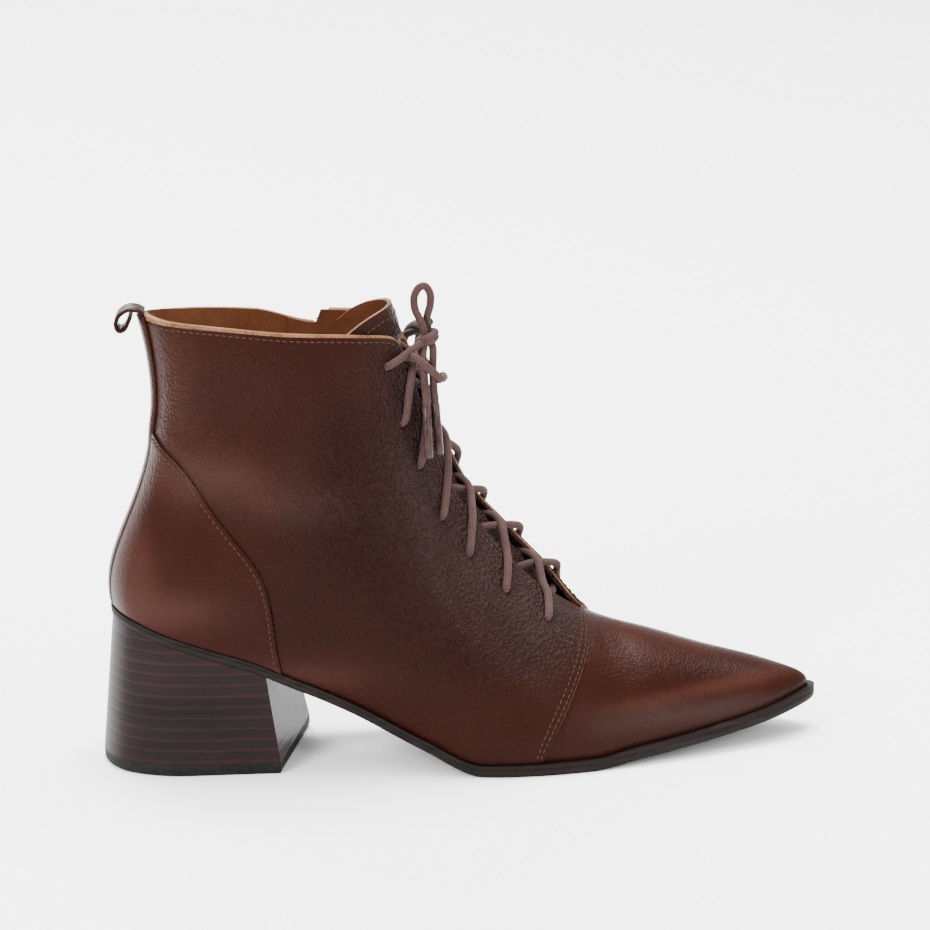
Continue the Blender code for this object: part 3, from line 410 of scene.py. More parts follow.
def corners_of(mesh):
    """A mesh's corners as rows of an array."""
    co = np.empty(len(mesh.vertices) * 3)
    mesh.vertices.foreach_get("co", co)
    return co.reshape(-1, 3)


# Points are welded where they agree to half a micrometre
WELD_STEPS = 2e6
SHARP_ANGLE = 50.0
SOLE_SHARP_ANGLE = 35.0


class Build:
    """Faces gathered with welded corners and a material for each."""

    def __init__(self):
        self.points = []
        self.found = {}
        self.faces = []
        self.mats = []

    def vertex(self, p):
        key = tuple(round(value * WELD_STEPS) for value in p)
        if key not in self.found:
            self.found[key] = len(self.points)
            self.points.append(tuple(float(value) for value in p))
        return self.found[key]

    def face(self, corners, mat=0):
        """Face through corners, those that fall together left out."""
        ids = []
        for p in corners:
            i = self.vertex(p)
            if i not in ids:
                ids.append(i)
        if len(ids) > 2:
            self.faces.append(ids)
            self.mats.append(mat)

    def bands(self, rings):
        """Rows of faces between closed rings of points."""
        for a, b in zip(rings[:-1], rings[1:]):
            for k in range(len(a)):
                m = (k + 1) % len(a)
                self.face([a[k], a[m], b[m], b[k]])

    def lid(self, ring):
        """Flat end over a ring that is the same on both sides of its middle."""
        n = len(ring)
        for k in range(n // 2):
            self.face([ring[k], ring[(k + 1) % n], ring[n - 2 - k], ring[n - 1 - k]])

    def object(self, name, materials, sharp=SHARP_ANGLE):
        mesh = bpy.data.meshes.new(name)
        mesh.from_pydata(self.points, [], self.faces)
        for m in materials:
            mesh.materials.append(m)
        mesh.polygons.foreach_set("material_index", self.mats)
        bm = bmesh.new()
        bm.from_mesh(mesh)
        bmesh.ops.recalc_face_normals(bm, faces=bm.faces[:])
        bm.to_mesh(mesh)
        bm.free()
        mesh.shade_smooth()
        mesh.set_sharp_from_angle(angle=math.radians(sharp))
        return new_object(name, mesh)


# Share of a rim that is pale where the rest is dark
PALE_SHARE = 0.35


def shell(build, outer, inner, keep=None, mats=(0, 1, 2), edged=None, faced=None):
    """Closed wall between two sheets of points: outer face, rims and inner face have a material each.

    edged(i, j) says which cells of the outer face look like the rim, faced(i, j) which cells of the
    inner face look like the outer one, with a rim that is dark for its inner half."""
    rows = outer.shape[0] - 1
    cols = outer.shape[1] - 1
    edges = {}
    keys = np.round(outer * WELD_STEPS).astype(np.int64)
    for i in range(rows):
        for j in range(cols):
            if keep is not None and not keep(i, j):
                continue
            loop = ((i, j), (i + 1, j), (i + 1, j + 1), (i, j + 1))
            pale = edged is not None and edged(i, j)
            dark = faced is not None and faced(i, j)
            build.face([outer[a] for a in loop], mats[1] if pale else mats[0])
            build.face([inner[a] for a in reversed(loop)], mats[0] if dark else mats[2])
            for k in range(4):
                a = loop[k]
                b = loop[(k + 1) % 4]
                ka = tuple(keys[a])
                kb = tuple(keys[b])
                if ka != kb:
                    edges.setdefault(frozenset((ka, kb)), []).append((a, b, dark))
    for uses in edges.values():
        if len(uses) == 1:
            a, b, dark = uses[0]
            middle_a = outer[a] + (inner[a] - outer[a]) * PALE_SHARE
            middle_b = outer[b] + (inner[b] - outer[b]) * PALE_SHARE
            build.face([outer[b], outer[a], middle_a, middle_b], mats[1])
            build.face([middle_b, middle_a, inner[a], inner[b]], mats[0] if dark else mats[1])


def sheet(name, materials, outer, inner, mats=(0, 0, 0)):
    """Closed sheet between two sets of points, charted for its leather."""
    build = Build()
    shell(build, outer, inner, mats=mats)
    obj = build.object(name, materials)
    paint(obj)
    return obj


def spaced(a, b, step):
    """Even values from a to b, about a step apart."""
    return np.linspace(a, b, max(2, int(round(abs(b - a) / step)) + 1))


def catmull(points, per_span):
    """Smooth run through points."""
    pts = [np.array(p, float) for p in points]
    pts = [2 * pts[0] - pts[1]] + pts + [2 * pts[-1] - pts[-2]]
    out = []
    for k in range(1, len(pts) - 2):
        a, b, c, d = pts[k - 1:k + 3]
        for j in range(per_span):
            t = j / per_span
            square = (2 * a - 5 * b + 4 * c - d) * t**2
            cube = (3 * b - a - 3 * c + d) * t**3
            out.append(0.5 * (2 * b + (c - a) * t + square + cube))
    out.append(pts[-2])
    return np.array(out)


# Materials


class Nodes:
    """Short way to write a material's node tree."""

    def __init__(self, name):
        self.material = bpy.data.materials.new(name)
        self.material.use_nodes = True
        self.tree = self.material.node_tree
        self.shader = self.tree.nodes["Principled BSDF"]
        self.place = self.node("ShaderNodeTexCoord").outputs["Object"]

    def node(self, kind, inputs=None, **settings):
        n = self.tree.nodes.new(kind)
        for key, value in settings.items():
            setattr(n, key, value)
        for key, value in (inputs or {}).items():
            self.feed(n.inputs[key], value)
        return n

    def feed(self, socket, value):
        if isinstance(value, bpy.types.NodeSocket):
            self.tree.links.new(value, socket)
        else:
            socket.default_value = value

    def feed_colour(self, socket, value):
        self.feed(socket, value if isinstance(value, bpy.types.NodeSocket) else (*value, 1.0))

    def noise(self, scale, detail=3.0, roughness=0.55, stretch=None):
        at = self.place
        if stretch is not None:
            at = self.node("ShaderNodeMapping", {"Vector": at, "Scale": stretch}).outputs["Vector"]
        inputs = {"Vector": at, "Scale": scale, "Detail": detail, "Roughness": roughness}
        return self.node("ShaderNodeTexNoise", inputs).outputs["Fac"]

    def cells(self, scale, smooth=0.6):
        inputs = {"Vector": self.place, "Scale": scale, "Smoothness": smooth}
        return self.node("ShaderNodeTexVoronoi", inputs, feature="SMOOTH_F1").outputs["Distance"]

    def math(self, kind, a, b=0.0, clamp=False):
        n = self.node("ShaderNodeMath", operation=kind, use_clamp=clamp)
        self.feed(n.inputs[0], a)
        self.feed(n.inputs[1], b)
        return n.outputs[0]

    def add(self, a, b, clamp=False):
        return self.math("ADD", a, b, clamp)

    def sub(self, a, b, clamp=False):
        return self.math("SUBTRACT", a, b, clamp)

    def mul(self, a, b):
        return self.math("MULTIPLY", a, b)

    def ramp(self, fac, stops):
        n = self.node("ShaderNodeValToRGB", {"Fac": fac})
        while len(n.color_ramp.elements) < len(stops):
            n.color_ramp.elements.new(0.5)
        for element, (position, colour) in zip(n.color_ramp.elements, stops):
            element.position = position
            element.color = (*colour, 1.0)
        return n.outputs["Color"]

    def mix(self, fac, a, b):
        n = self.node("ShaderNodeMix", data_type="RGBA", blend_type="MIX")
        self.feed(n.inputs["Factor"], fac)
        self.feed_colour(n.inputs[6], a)
        self.feed_colour(n.inputs[7], b)
        return n.outputs[2]

    def attribute(self, name):
        return self.node("ShaderNodeAttribute", attribute_name=name)

    def bump(self, height, distance, strength=1.0):
        inputs = {"Height": height, "Distance": distance, "Strength": strength}
        return self.node("ShaderNodeBump", inputs).outputs["Normal"]

    def finish(self, colour, roughness, normal=None, **constants):
        self.feed_colour(self.shader.inputs["Base Color"], colour)
        self.feed(self.shader.inputs["Roughness"], roughness)
        if normal is not None:
            self.feed(self.shader.inputs["Normal"], normal)
        constants.setdefault("Specular_IOR_Level", 0.06)
        for key, value in constants.items():
            self.shader.inputs[key.replace("_", " ")].default_value = value
        return self.material


# Dark, middle and light dye of the leather, the greyish colour of its painted sheen, and the painted shade in
# the grain's valleys
LEATHER_SHADES = ((0.0058, 0.0009, 0.0003), (0.0145, 0.0027, 0.0011), (0.039, 0.0098, 0.0052))
LEATHER_PAINTED_SHEEN = (0.0255, 0.0145, 0.0130)
LEATHER_VALLEY_SHADE = (0.0016, 0.0005, 0.0003)


def leather(name, tint=(1.0, 1.0, 1.0)):
    """Brown calf: uneven dye, painted highlights and a greyish painted sheen from the chart, pebbled grain
    where the leather is loose with painted shade in its valleys, polish where it is lasted tight.
    """
    m = Nodes(name)
    chart = m.attribute("chart")
    parts = m.node("ShaderNodeSeparateColor", {"Color": chart.outputs["Color"]})
    pebble, tone_and_highlight, painted_sheen = (parts.outputs[k] for k in range(3))
    clouds = m.noise(28.0, 4.0, 0.6)
    fine = m.noise(420.0, 4.0, 0.65)
    dark, mid, light = (tuple(c * t for c, t in zip(shade, tint)) for shade in LEATHER_SHADES)
    # The chart's tone: painted highlights where it rises, darker leather where it falls; the clouds and fine
    # noise are uneven dye
    shade = m.add(tone_and_highlight, m.mul(m.sub(clouds, 0.5), 0.42))
    shade = m.add(shade, m.mul(m.sub(fine, 0.5), 0.22), clamp=True)
    colour = m.ramp(shade, ((0.0, dark), (0.5, mid), (1.0, light)))
    # Painted sheen: the colour turns greyish where the chart's grey asks for it
    colour = m.mix(painted_sheen, colour, LEATHER_PAINTED_SHEEN)
    grain = m.cells(760.0, 0.30)
    small = m.cells(1500.0, 0.4)
    creased = m.noise(300.0, 6.0, 0.7, stretch=(1.0, 1.0, 0.45))
    # Painted shade: darker in the grain's valleys where the leather is pebbled
    valley_shade = m.mul(m.sub(0.75, grain, clamp=True), 0.55)
    colour = m.mix(m.mul(valley_shade, pebble), colour, LEATHER_VALLEY_SHADE)
    height = m.mul(grain, m.add(m.mul(pebble, 0.95), 0.035))
    height = m.add(height, m.mul(small, 0.06))
    height = m.add(height, m.mul(creased, m.add(m.mul(pebble, 0.7), 0.05)))
    normal = m.bump(height, 0.0018, 1.0)
    rough = m.add(0.29, m.mul(pebble, 0.20))
    rough = m.add(rough, m.mul(m.sub(clouds, 0.5), 0.12))
    return m.finish(colour, rough, normal, Coat_Weight=0.012, Coat_Roughness=0.30, Specular_IOR_Level=0.042)


def raw_edge():
    """Cut edge of the leather: pale tan, fibrous, dyed darker in places."""
    m = Nodes("raw_edge")
    fibre = m.noise(900.0, 3.0, 0.6)
    patch = m.noise(90.0, 2.0, 0.5)
    colour = m.ramp(m.add(m.mul(fibre, 0.5), m.mul(patch, 0.5)), (
        (0.30, (0.045, 0.018, 0.008)), (0.5, (0.12, 0.055, 0.026)), (0.72, (0.21, 0.11, 0.055)),
    ))
    return m.finish(colour, 0.7, m.bump(fibre, 0.0002, 0.6))


def lining():
    """Tan lining leather, matte and slightly worn, turning a middle tan where the chart holds painted sheen.
    """
    m = Nodes("lining_tan")
    clouds = m.noise(34.0, 4.0, 0.6)
    fine = m.noise(1100.0, 2.0, 0.5)
    colour = m.ramp(m.add(m.mul(clouds, 0.7), m.mul(fine, 0.3)), (
        (0.30, (0.046, 0.0135, 0.0055)), (0.52, (0.080, 0.027, 0.0115)), (0.75, (0.120, 0.047, 0.020)),
    ))
    chart = m.node("ShaderNodeSeparateColor", {"Color": m.attribute("chart").outputs["Color"]})
    # Where the chart holds painted sheen, the lining is evened to a middle tan
    colour = m.mix(chart.outputs[2], colour, (0.075, 0.030, 0.014))
    return m.finish(colour, 0.62, m.bump(m.cells(1500.0), 0.00015, 0.5))


THREAD_COLOUR = (0.046, 0.026, 0.019)


def thread():
    """Waxed thread."""
    m = Nodes("thread_brown")
    twist = m.noise(2600.0, 2.0, 0.5)
    dark = tuple(c * 0.6 for c in THREAD_COLOUR)
    return m.finish(m.ramp(twist, ((0.35, dark), (0.65, THREAD_COLOUR))), 0.6, m.bump(twist, 0.0001, 0.6))


# Weave of the lace: turns in radians a metre, and threads of each set round it
LACE_PITCH = 3600.0
LACE_THREADS = 6.0


def lace_cloth():
    """Fine round woven lace: two sets of threads that cross along the cord."""
    m = Nodes("lace_brown")
    uv = m.node("ShaderNodeSeparateXYZ", {"Vector": m.attribute("weave").outputs["Vector"]})
    along, around = uv.outputs[0], uv.outputs[1]
    first = m.math("SINE", m.add(m.mul(along, LACE_PITCH), m.mul(around, LACE_THREADS)))
    other = m.math("SINE", m.sub(m.mul(along, LACE_PITCH), m.mul(around, LACE_THREADS)))
    weave = m.mul(first, other)
    fuzz = m.noise(1500.0, 3.0, 0.6)
    patch = m.noise(120.0, 3.0, 0.6)
    shade = m.add(m.mul(weave, 0.10), m.add(m.mul(fuzz, 0.35), m.mul(patch, 0.4)))
    colour = m.ramp(shade, (
        (0.16, (0.020, 0.0098, 0.0090)), (0.40, (0.043, 0.0215, 0.0195)), (0.62, (0.070, 0.038, 0.035)),
    ))
    height = m.add(m.mul(weave, 0.5), fuzz)
    return m.finish(colour, 0.72, m.bump(height, 0.00016, 0.7), Sheen_Weight=0.04, Sheen_Roughness=0.5)


def lace_tip_finish():
    """Clear tip shrunk over the lace's end."""
    m = Nodes("lace_tip")
    wrinkle = m.noise(700.0, 3.0, 0.6, stretch=(1.0, 1.0, 0.3))
    colour = m.ramp(wrinkle, ((0.35, (0.018, 0.0095, 0.0085)), (0.65, (0.044, 0.025, 0.022))))
    return m.finish(colour, 0.22, m.bump(wrinkle, 0.0003, 0.5), Coat_Weight=0.12, Coat_Roughness=0.10)


def sole_finish():
    """Dark burnished sole edge with faint lines along it."""
    m = Nodes("sole_edge_dark")
    streaks = m.noise(60.0, 4.0, 0.6, stretch=(0.35, 0.35, 9.0))
    scuffs = m.noise(240.0, 5.0, 0.7)
    shade = m.add(m.mul(streaks, 0.6), m.mul(scuffs, 0.4))
    colour = m.ramp(shade, (
        (0.32, (0.0042, 0.0031, 0.0027)), (0.52, (0.0078, 0.0058, 0.0051)), (0.72, (0.0150, 0.0110, 0.0096)),
    ))
    rough = m.add(0.42, m.mul(scuffs, 0.25))
    return m.finish(colour, rough, m.bump(shade, 0.0004, 0.5), Specular_IOR_Level=0.06)


# Layers in the heel's height
HEEL_LAYERS = 13.6


def heel_finish():
    """Stacked heel: a dark stain over thin layers, redder at each joint."""
    m = Nodes("stacked_heel")
    spread = m.node("ShaderNodeSeparateXYZ", {"Vector": m.attribute("layers").outputs["Vector"]})
    level = spread.outputs[0]
    waver = m.noise(45.0, 3.0, 0.6, stretch=(1.0, 1.0, 0.5))
    count = m.add(m.mul(level, HEEL_LAYERS), m.mul(waver, 0.30))
    saw = m.math("FRACT", count)
    joint = m.math("ABSOLUTE", m.sub(saw, 0.5))
    line = m.sub(1.0, m.mul(joint, 5.0), clamp=True)
    half = m.math("FRACT", m.mul(count, 2.3))
    half_joint = m.math("ABSOLUTE", m.sub(half, 0.5))
    faint = m.sub(1.0, m.mul(half_joint, 6.0), clamp=True)
    patch = m.noise(26.0, 3.0, 0.6, stretch=(0.5, 0.5, 2.0))
    base = m.ramp(patch, (
        (0.3, (0.0052, 0.0032, 0.0036)), (0.55, (0.0090, 0.0052, 0.0056)), (0.8, (0.0135, 0.0075, 0.0072)),
    ))
    strength = m.mul(line, m.mul(patch, 1.15))
    colour = m.mix(strength, base, (0.024, 0.0088, 0.0078))
    colour = m.mix(m.mul(faint, 0.30), colour, (0.0055, 0.0032, 0.0032))
    edge = m.noise(500.0, 3.0, 0.6, stretch=(0.3, 0.3, 3.0))
    height = m.sub(m.mul(edge, 0.4), m.mul(line, 0.6))
    rough = m.add(0.30, m.mul(edge, 0.12))
    return m.finish(colour, rough, m.bump(height, 0.00022, 0.5), Coat_Weight=0.02, Coat_Roughness=0.15,
                    Specular_IOR_Level=0.05)


def rubber_finish():
    """Dull black wearing piece."""
    m = Nodes("top_piece_dark")
    scuffs = m.noise(420.0, 5.0, 0.7)
    colour = m.ramp(scuffs, ((0.35, (0.005, 0.0047, 0.0047)), (0.7, (0.012, 0.0108, 0.0104))))
    return m.finish(colour, 0.62, m.bump(scuffs, 0.0003, 0.6), Specular_IOR_Level=0.06)


def tape_finish():
    """Woven zip tape."""
    m = Nodes("zip_tape_dark")
    inputs = {"Vector": m.place, "Scale": 900.0, "Distortion": 1.5}
    weave = m.node("ShaderNodeTexWave", inputs, wave_type="BANDS", bands_direction="DIAGONAL").outputs["Fac"]
    fuzz = m.noise(1400.0, 3.0, 0.6)
    colour = m.ramp(m.add(m.mul(weave, 0.4), m.mul(fuzz, 0.5)),
                    ((0.25, (0.010, 0.006, 0.005)), (0.65, (0.038, 0.020, 0.015))))
    return m.finish(colour, 0.85, m.bump(weave, 0.0002, 0.7))


def metal_finish():
    """Aged brass of the zip."""
    m = Nodes("zip_metal")
    wear = m.noise(260.0, 4.0, 0.6)
    scratch = m.noise(900.0, 3.0, 0.7, stretch=(1.0, 1.0, 0.12))
    colour = m.ramp(wear, ((0.35, (0.06, 0.043, 0.026)), (0.65, (0.17, 0.13, 0.08))))
    rough = m.add(0.24, m.mul(scratch, 0.2))
    return m.finish(colour, rough, m.bump(scratch, 0.0001, 0.4), Metallic=0.95)


LEATHER = leather("leather_brown")
COUNTER_LEATHER = leather("leather_counter", (1.08, 1.05, 1.05))
STRIP_LEATHER = leather("leather_strip", (0.95, 0.95, 0.98))
TONGUE_LEATHER = leather("leather_tongue", (1.0, 1.02, 1.02))
RAW = raw_edge()
LINING = lining()
THREAD = thread()
LACE = lace_cloth()
TIP_CLEAR = lace_tip_finish()
SOLE = sole_finish()
HEEL = heel_finish()
RUBBER = rubber_finish()
TAPE = tape_finish()
METAL = metal_finish()


# Where the leather is pebbled, toned and greyer, in side view; a rising tone is a painted highlight, the grey
# is a painted sheen:
# x, z, reach along, reach up (all mm), pebble, tone, grey
ZONES = (
    # Pebbled along the throat, greyish with painted sheen
    (90, 150, 14, 26, 0.65, 0.05, 0.75),
    (98, 112, 20, 24, 0.80, 0.05, 0.70),
    (118, 80, 24, 20, 0.95, 0.06, 0.70),
    (140, 58, 18, 16, 0.85, 0.08, 0.70),
    # Pebbled quarter, darker
    (70, 128, 26, 34, 0.55, -0.16, 0.0),
    (70, 90, 40, 30, 0.40, -0.14, 0.0),
    (115, 48, 40, 26, 0.55, -0.06, 0.0),
    (60, 60, 40, 26, 0.12, -0.12, 0.0),
    # Painted highlights, greyish with painted sheen, along the collar's back, above the counter and on the
    # counter
    (20, 150, 36, 20, 0.22, 0.04, 0.05),
    (-4, 148, 10, 26, 0.10, 0.22, 0.22),
    (8, 118, 30, 10, 0.10, 0.26, 0.38),
    (44, 106, 24, 8, 0.15, 0.20, 0.30),
    (-20, 84, 9, 20, 0.0, 0.34, 0.30),
    (-6, 66, 22, 8, 0.0, 0.30, 0.30),
    (40, 38, 30, 8, 0.0, 0.30, 0.22),
    # Toe: painted highlights on its top and along its ridge, painted shade beside the ridge, and a greyish
    # painted reflection of the floor below it
    (204, 37, 26, 6, 0.0, 0.22, 0.0),
    (170, 44, 16, 7, 0.0, 0.16, 0.0),
    (206, 24.5, 26, 2.6, 0.0, 0.36, 0.22),
    (176, 22, 18, 2.6, 0.0, 0.20, 0.15),
    (196, 30, 24, 3, 0.0, -0.10, 0.0),
    (200, 16, 34, 4.0, 0.0, 0.08, 0.55),
    (160, 14, 24, 8, 0.0, -0.04, 0.15),
)
BASE_TONE = 0.44
# The vamp is lasted smooth: its seam's foot in mm, the seam's slope, over how many mm the pebbles end there,
# and the share of them that is left
VAMP_FOOT = 144.0
VAMP_SLOPE = 0.22
VAMP_FADE = 8.0
VAMP_PEBBLE = 0.15


def paint(obj):
    """Charts pebble, tone with its painted highlights, and the grey of painted sheen on a piece's corners
    from the zones.
    """
    co = corners_of(obj.data)
    x = co[:, 0] / MM
    z = co[:, 2] / MM
    chart = np.zeros((len(co), 4))
    chart[:, 1] = BASE_TONE
    chart[:, 3] = 1.0
    for cx, cz, rx, rz, pebble, tone_and_highlight, painted_sheen in ZONES:
        w = np.exp(-((x - cx) / rx)**2 - ((z - cz) / rz)**2)
        chart[:, 0] += pebble * w
        chart[:, 1] += tone_and_highlight * w
        chart[:, 2] += painted_sheen * w
    chart[:, 0] *= np.clip((VAMP_FOOT + VAMP_SLOPE * z - x) / VAMP_FADE, VAMP_PEBBLE, 1.0)
    chart = np.clip(chart, 0.0, 1.0)
    layer = obj.data.color_attributes.new("chart", "FLOAT_COLOR", "POINT")
    layer.data.foreach_set("color", chart.ravel())


# Pieces of leather

# Sections between two rows of points, height where the collar's cut edge begins to show
FINE = 0.125
EDGE_FROM = 0.9935
UPPER_HEIGHTS = np.unique(np.round(np.concatenate([
    np.linspace(0.0, 0.12, 7), np.linspace(0.12, 0.76, 25), np.linspace(0.76, 1.0, 15),
    [ZIP_BOTTOM, EDGE_FROM],
]), 6))
EDGE_ROUND = 0.0005
PUNCH_SIDES = 16
# Height above which the facings are leather inside too
FACING_FROM = 0.70


def slot_edges():
    """Sections of the zip opening's rear and front edge."""
    half = sections_for(-ZIP_SECTION, 0.8, ZIP_WIDTH / 2)
    return ZIP_SECTION - half, ZIP_SECTION + half


def upper_sections():
    """Section values round the boot, with pairs at the vamp seam and values on the zip's edges."""
    rear, front = slot_edges()
    outer = spaced(0.0, TIP, FINE)
    outer = outer[np.abs(outer - VAMP_SEAM) > 1e-6]
    outer = np.sort(np.concatenate([outer, [VAMP_SEAM - SEAM_STEP, VAMP_SEAM + SEAM_STEP]]))
    inner = outer[(np.abs(outer - rear) > 0.05) & (np.abs(outer - front) > 0.05)]
    inner = np.sort(np.concatenate([inner, [rear, front]]))
    return np.concatenate([-inner[::-1], outer[1:]])


def join_ridge(points, sections):
    """Both sides of the vamp meet along its top."""
    top = points[:, -1]
    for i, s in enumerate(sections):
        if abs(s) > VAMP_SEAM and s > 0:
            other = int(np.argmin(np.abs(sections + s)))
            mean = (top[i] + top[other]) / 2
            top[i] = mean
            top[other] = mean
    points[:, -1] = top
    points[-1] = points[0]
    return points


def build_upper():
    """Vamp, quarters and facings: leather outside, lining inside, cut edges, punched eyelets."""
    sections = upper_sections()
    s, h = np.meshgrid(sections, UPPER_HEIGHTS, indexing="ij")
    drop = np.where(np.abs(s) < VAMP_SEAM, 0.0, -VAMP_DROP)
    rounded = np.where((h > 0.999) & (np.abs(s) < VAMP_SEAM), -EDGE_ROUND, 0.0)
    outer = join_ridge(skin(s, h, drop + rounded), sections)
    inner = join_ridge(skin(s, h, -WALL, dressed=False), sections)
    rear, front = slot_edges()
    build = Build()

    def keep(i, j):
        middle = (sections[i] + sections[i + 1]) / 2
        return not (-front < middle < -rear and UPPER_HEIGHTS[j] >= ZIP_BOTTOM - 1e-6)

    def edged(i, j):
        seam = abs(abs(sections[i] + sections[i + 1]) / 2 - VAMP_SEAM) < SEAM_STEP
        collar = abs(sections[i]) < THROAT_TOP
        return (collar and UPPER_HEIGHTS[j] >= EDGE_FROM - 1e-6) or seam

    def faced(i, j):
        return abs(sections[i]) > THROAT_TOP and UPPER_HEIGHTS[j] > FACING_FROM

    shell(build, outer, inner, keep, edged=edged, faced=faced)
    obj = build.object("upper_leather", [LEATHER, RAW, LINING])
    punch_eyelets(obj)
    paint(obj)
    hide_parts("upper")


def punch_eyelets(obj):
    """Round holes for the lace."""
    bm = bmesh.new()
    for s, h in EYELETS:
        for side in (1.0, -1.0):
            n = Vector(last_normal(side * s, h))
            matrix = n.to_track_quat("Z", "Y").to_matrix().to_4x4()
            matrix.translation = Vector(last(side * s, h))
            radius = EYELET_DIAMETER / 2
            bmesh.ops.create_cone(bm, cap_ends=True, segments=PUNCH_SIDES, radius1=radius, radius2=radius,
                                  depth=4 * WALL, matrix=matrix)
    mesh = bpy.data.meshes.new("punch")
    bm.to_mesh(mesh)
    bm.free()
    for finish in (LEATHER, RAW, LINING):
        mesh.materials.append(finish)
    tool = bpy.data.objects.new("punch", mesh)
    bpy.context.scene.collection.objects.link(tool)
    step = obj.modifiers.new("punch", "BOOLEAN")
    step.operation = "DIFFERENCE"
    step.solver = "EXACT"
    step.object = tool
    view = bpy.context.evaluated_depsgraph_get()
    made = bpy.data.meshes.new_from_object(obj.evaluated_get(view))
    obj.modifiers.clear()
    obj.data = made
    bpy.data.objects.remove(tool, do_unlink=True)
    made.shade_smooth()
    made.set_sharp_from_angle(angle=math.radians(SHARP_ANGLE))


SEAM_SMOOTHING = 30
COUNTER_ROWS = 34
# How much less the counter's edge is rounded than the collar's
COUNTER_ROUND = 0.6


def counter_seam():
    """Sections and heights along the counter's seam, rounded between its table's rows."""
    smooth = catmull([(s, h, 0.0) for s, h in COUNTER_EDGE], 12)
    for _ in range(SEAM_SMOOTHING):
        smooth[1:-1] = (smooth[:-2] + 2 * smooth[1:-1] + smooth[2:]) / 4
    return smooth[:, 0], smooth[:, 1]


def build_counters():
    """Heel overlays, each cut along its curved seam."""
    for name, side in (("counter_outer", 1.0), ("counter_inner", -1.0)):
        start = sections_for(0.0, 0.4, STRIP_WIDTH / 2 - 0.001)
        sections = spaced(start, COUNTER_EDGE[-1][0], FINE / 2)
        tops = np.maximum(np.interp(sections, *counter_seam()), 0.001)
        share = np.linspace(0.0, 1.0, COUNTER_ROWS)
        s = side * np.repeat(sections[:, None], len(share), 1)
        h = tops[:, None] * share[None, :]
        edge = np.where(share > 0.999, -EDGE_ROUND * COUNTER_ROUND, 0.0)[None, :]
        outer = skin(s, h, GAP + COUNTER_THICKNESS + edge)
        inner = skin(s, h, GAP / 2)
        obj = sheet(name + "_leather", [COUNTER_LEATHER], outer, inner)
        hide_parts(name)


def strip_half(height):
    """Half the backstay's width in sections at a height."""
    return np.array([sections_for(0.0, float(t), STRIP_WIDTH / 2) for t in np.atleast_1d(height)])


# Strip's points across it, how much it thins towards its edges, and how far they turn down
STRIP_ACROSS = (-1.0, -0.86, -0.6, -0.3, 0.0, 0.3, 0.6, 0.86, 1.0)
STRIP_FALL = 0.25
STRIP_TURN = 0.0006


def build_backstay():
    """Strip over the back seam, its two long edges turned down."""
    heights = spaced(0.0, 1.0, 0.02)
    across = np.array(STRIP_ACROSS)
    half = strip_half(heights)
    s = across[:, None] * half[None, :]
    h = np.repeat(heights[None, :], len(across), 0)
    crown = STRIP_THICKNESS * (1.0 - STRIP_FALL * across**2) - STRIP_TURN * (np.abs(across) > 0.95)
    outer = skin(s, h, GAP + crown[:, None])
    inner = skin(s, h, GAP / 2)
    obj = sheet("backstay_leather", [STRIP_LEATHER], outer, inner)
    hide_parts("backstay")


# Pull loop in side view, from the collar's top backwards and round, in metres from the collar's back edge
PULL_LOOP = (
    (0.0012, 0.0004), (-0.0014, 0.0019), (-0.0048, 0.0021), (-0.0080, 0.0002), (-0.0096, -0.0030),
    (-0.0087, -0.0058), (-0.0064, -0.0054), (-0.0048, -0.0028), (-0.0036, 0.0001),
)
LOOP_WIDTH = 0.0105
LOOP_THICKNESS = 0.0015
# Points across it, and the share of its thickness at its two edges
LOOP_ACROSS = (-1.0, -0.9, -0.5, 0.0, 0.5, 0.9, 1.0)
LOOP_EDGE = 0.55


def build_pull_loop():
    """Doubled leather strip that curls back from the collar and tucks in under itself."""
    top = last(0.0, 1.0)
    path = catmull([(top[0] + x, 0.0, top[2] + z) for x, z in PULL_LOOP], 7)
    d = unit(np.gradient(path, axis=0))
    n = np.stack([-d[:, 2], np.zeros(len(d)), d[:, 0]], -1)
    across = np.array(LOOP_ACROSS)
    thick = LOOP_THICKNESS / 2 * np.where(np.abs(across) > 0.95, LOOP_EDGE, 1.0)
    y = across * LOOP_WIDTH / 2
    offset = n[:, None, :] * thick[None, :, None]
    outer = path[:, None, :] + offset
    inner = path[:, None, :] - offset
    outer[..., 1] = y[None, :]
    inner[..., 1] = y[None, :]
    obj = sheet("pull_loop_leather", [STRIP_LEATHER], outer, inner)
    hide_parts("pull_loop")


# Tongue: how deep it lies under the facings, its thickness, the arch over the gap between them
TONGUE_DEPTH = 0.0050
TONGUE_THICKNESS = 0.0016
TONGUE_CROWN = 0.45
# Side edges: section of the facing edge it passes, then the section and height of its own edge
TONGUE_SIDE = (
    (6.0, 4.30, 0.86), (7.0, 5.40, 0.83), (8.0, 7.00, 0.81), (9.0, 8.60, 0.80), (10.0, 9.90, 0.80),
    (12.0, 12.00, 0.80),
)
# Top edge from the outer to the inner side in mm
TONGUE_TOP = (
    (60.5, -21.0, 166.0), (66.5, -19.6, 170.8), (72.5, -16.4, 174.4), (78.0, -11.6, 176.6),
    (81.2, -6.4, 177.6), (82.4, 0.0, 178.0), (81.2, 6.4, 177.6), (78.0, 11.6, 176.6),
    (72.5, 16.0, 174.6), (66.5, 18.6, 171.4), (61.0, 19.6, 167.0),
)
TONGUE_BULGE = 0.0012
TONGUE_COLUMNS = 31
TONGUE_TOP_ROWS = 9
TONGUE_STEP = 0.14
TONGUE_SIDE_POINTS = 12
tongue_side_at = curve_through(TONGUE_SIDE)


def evened(line, count):
    """A line of points set at even distances."""
    run = run_along(line)
    at = np.linspace(0.0, run[-1], count)
    return np.stack([np.interp(at, run, line[:, k]) for k in range(3)], -1)


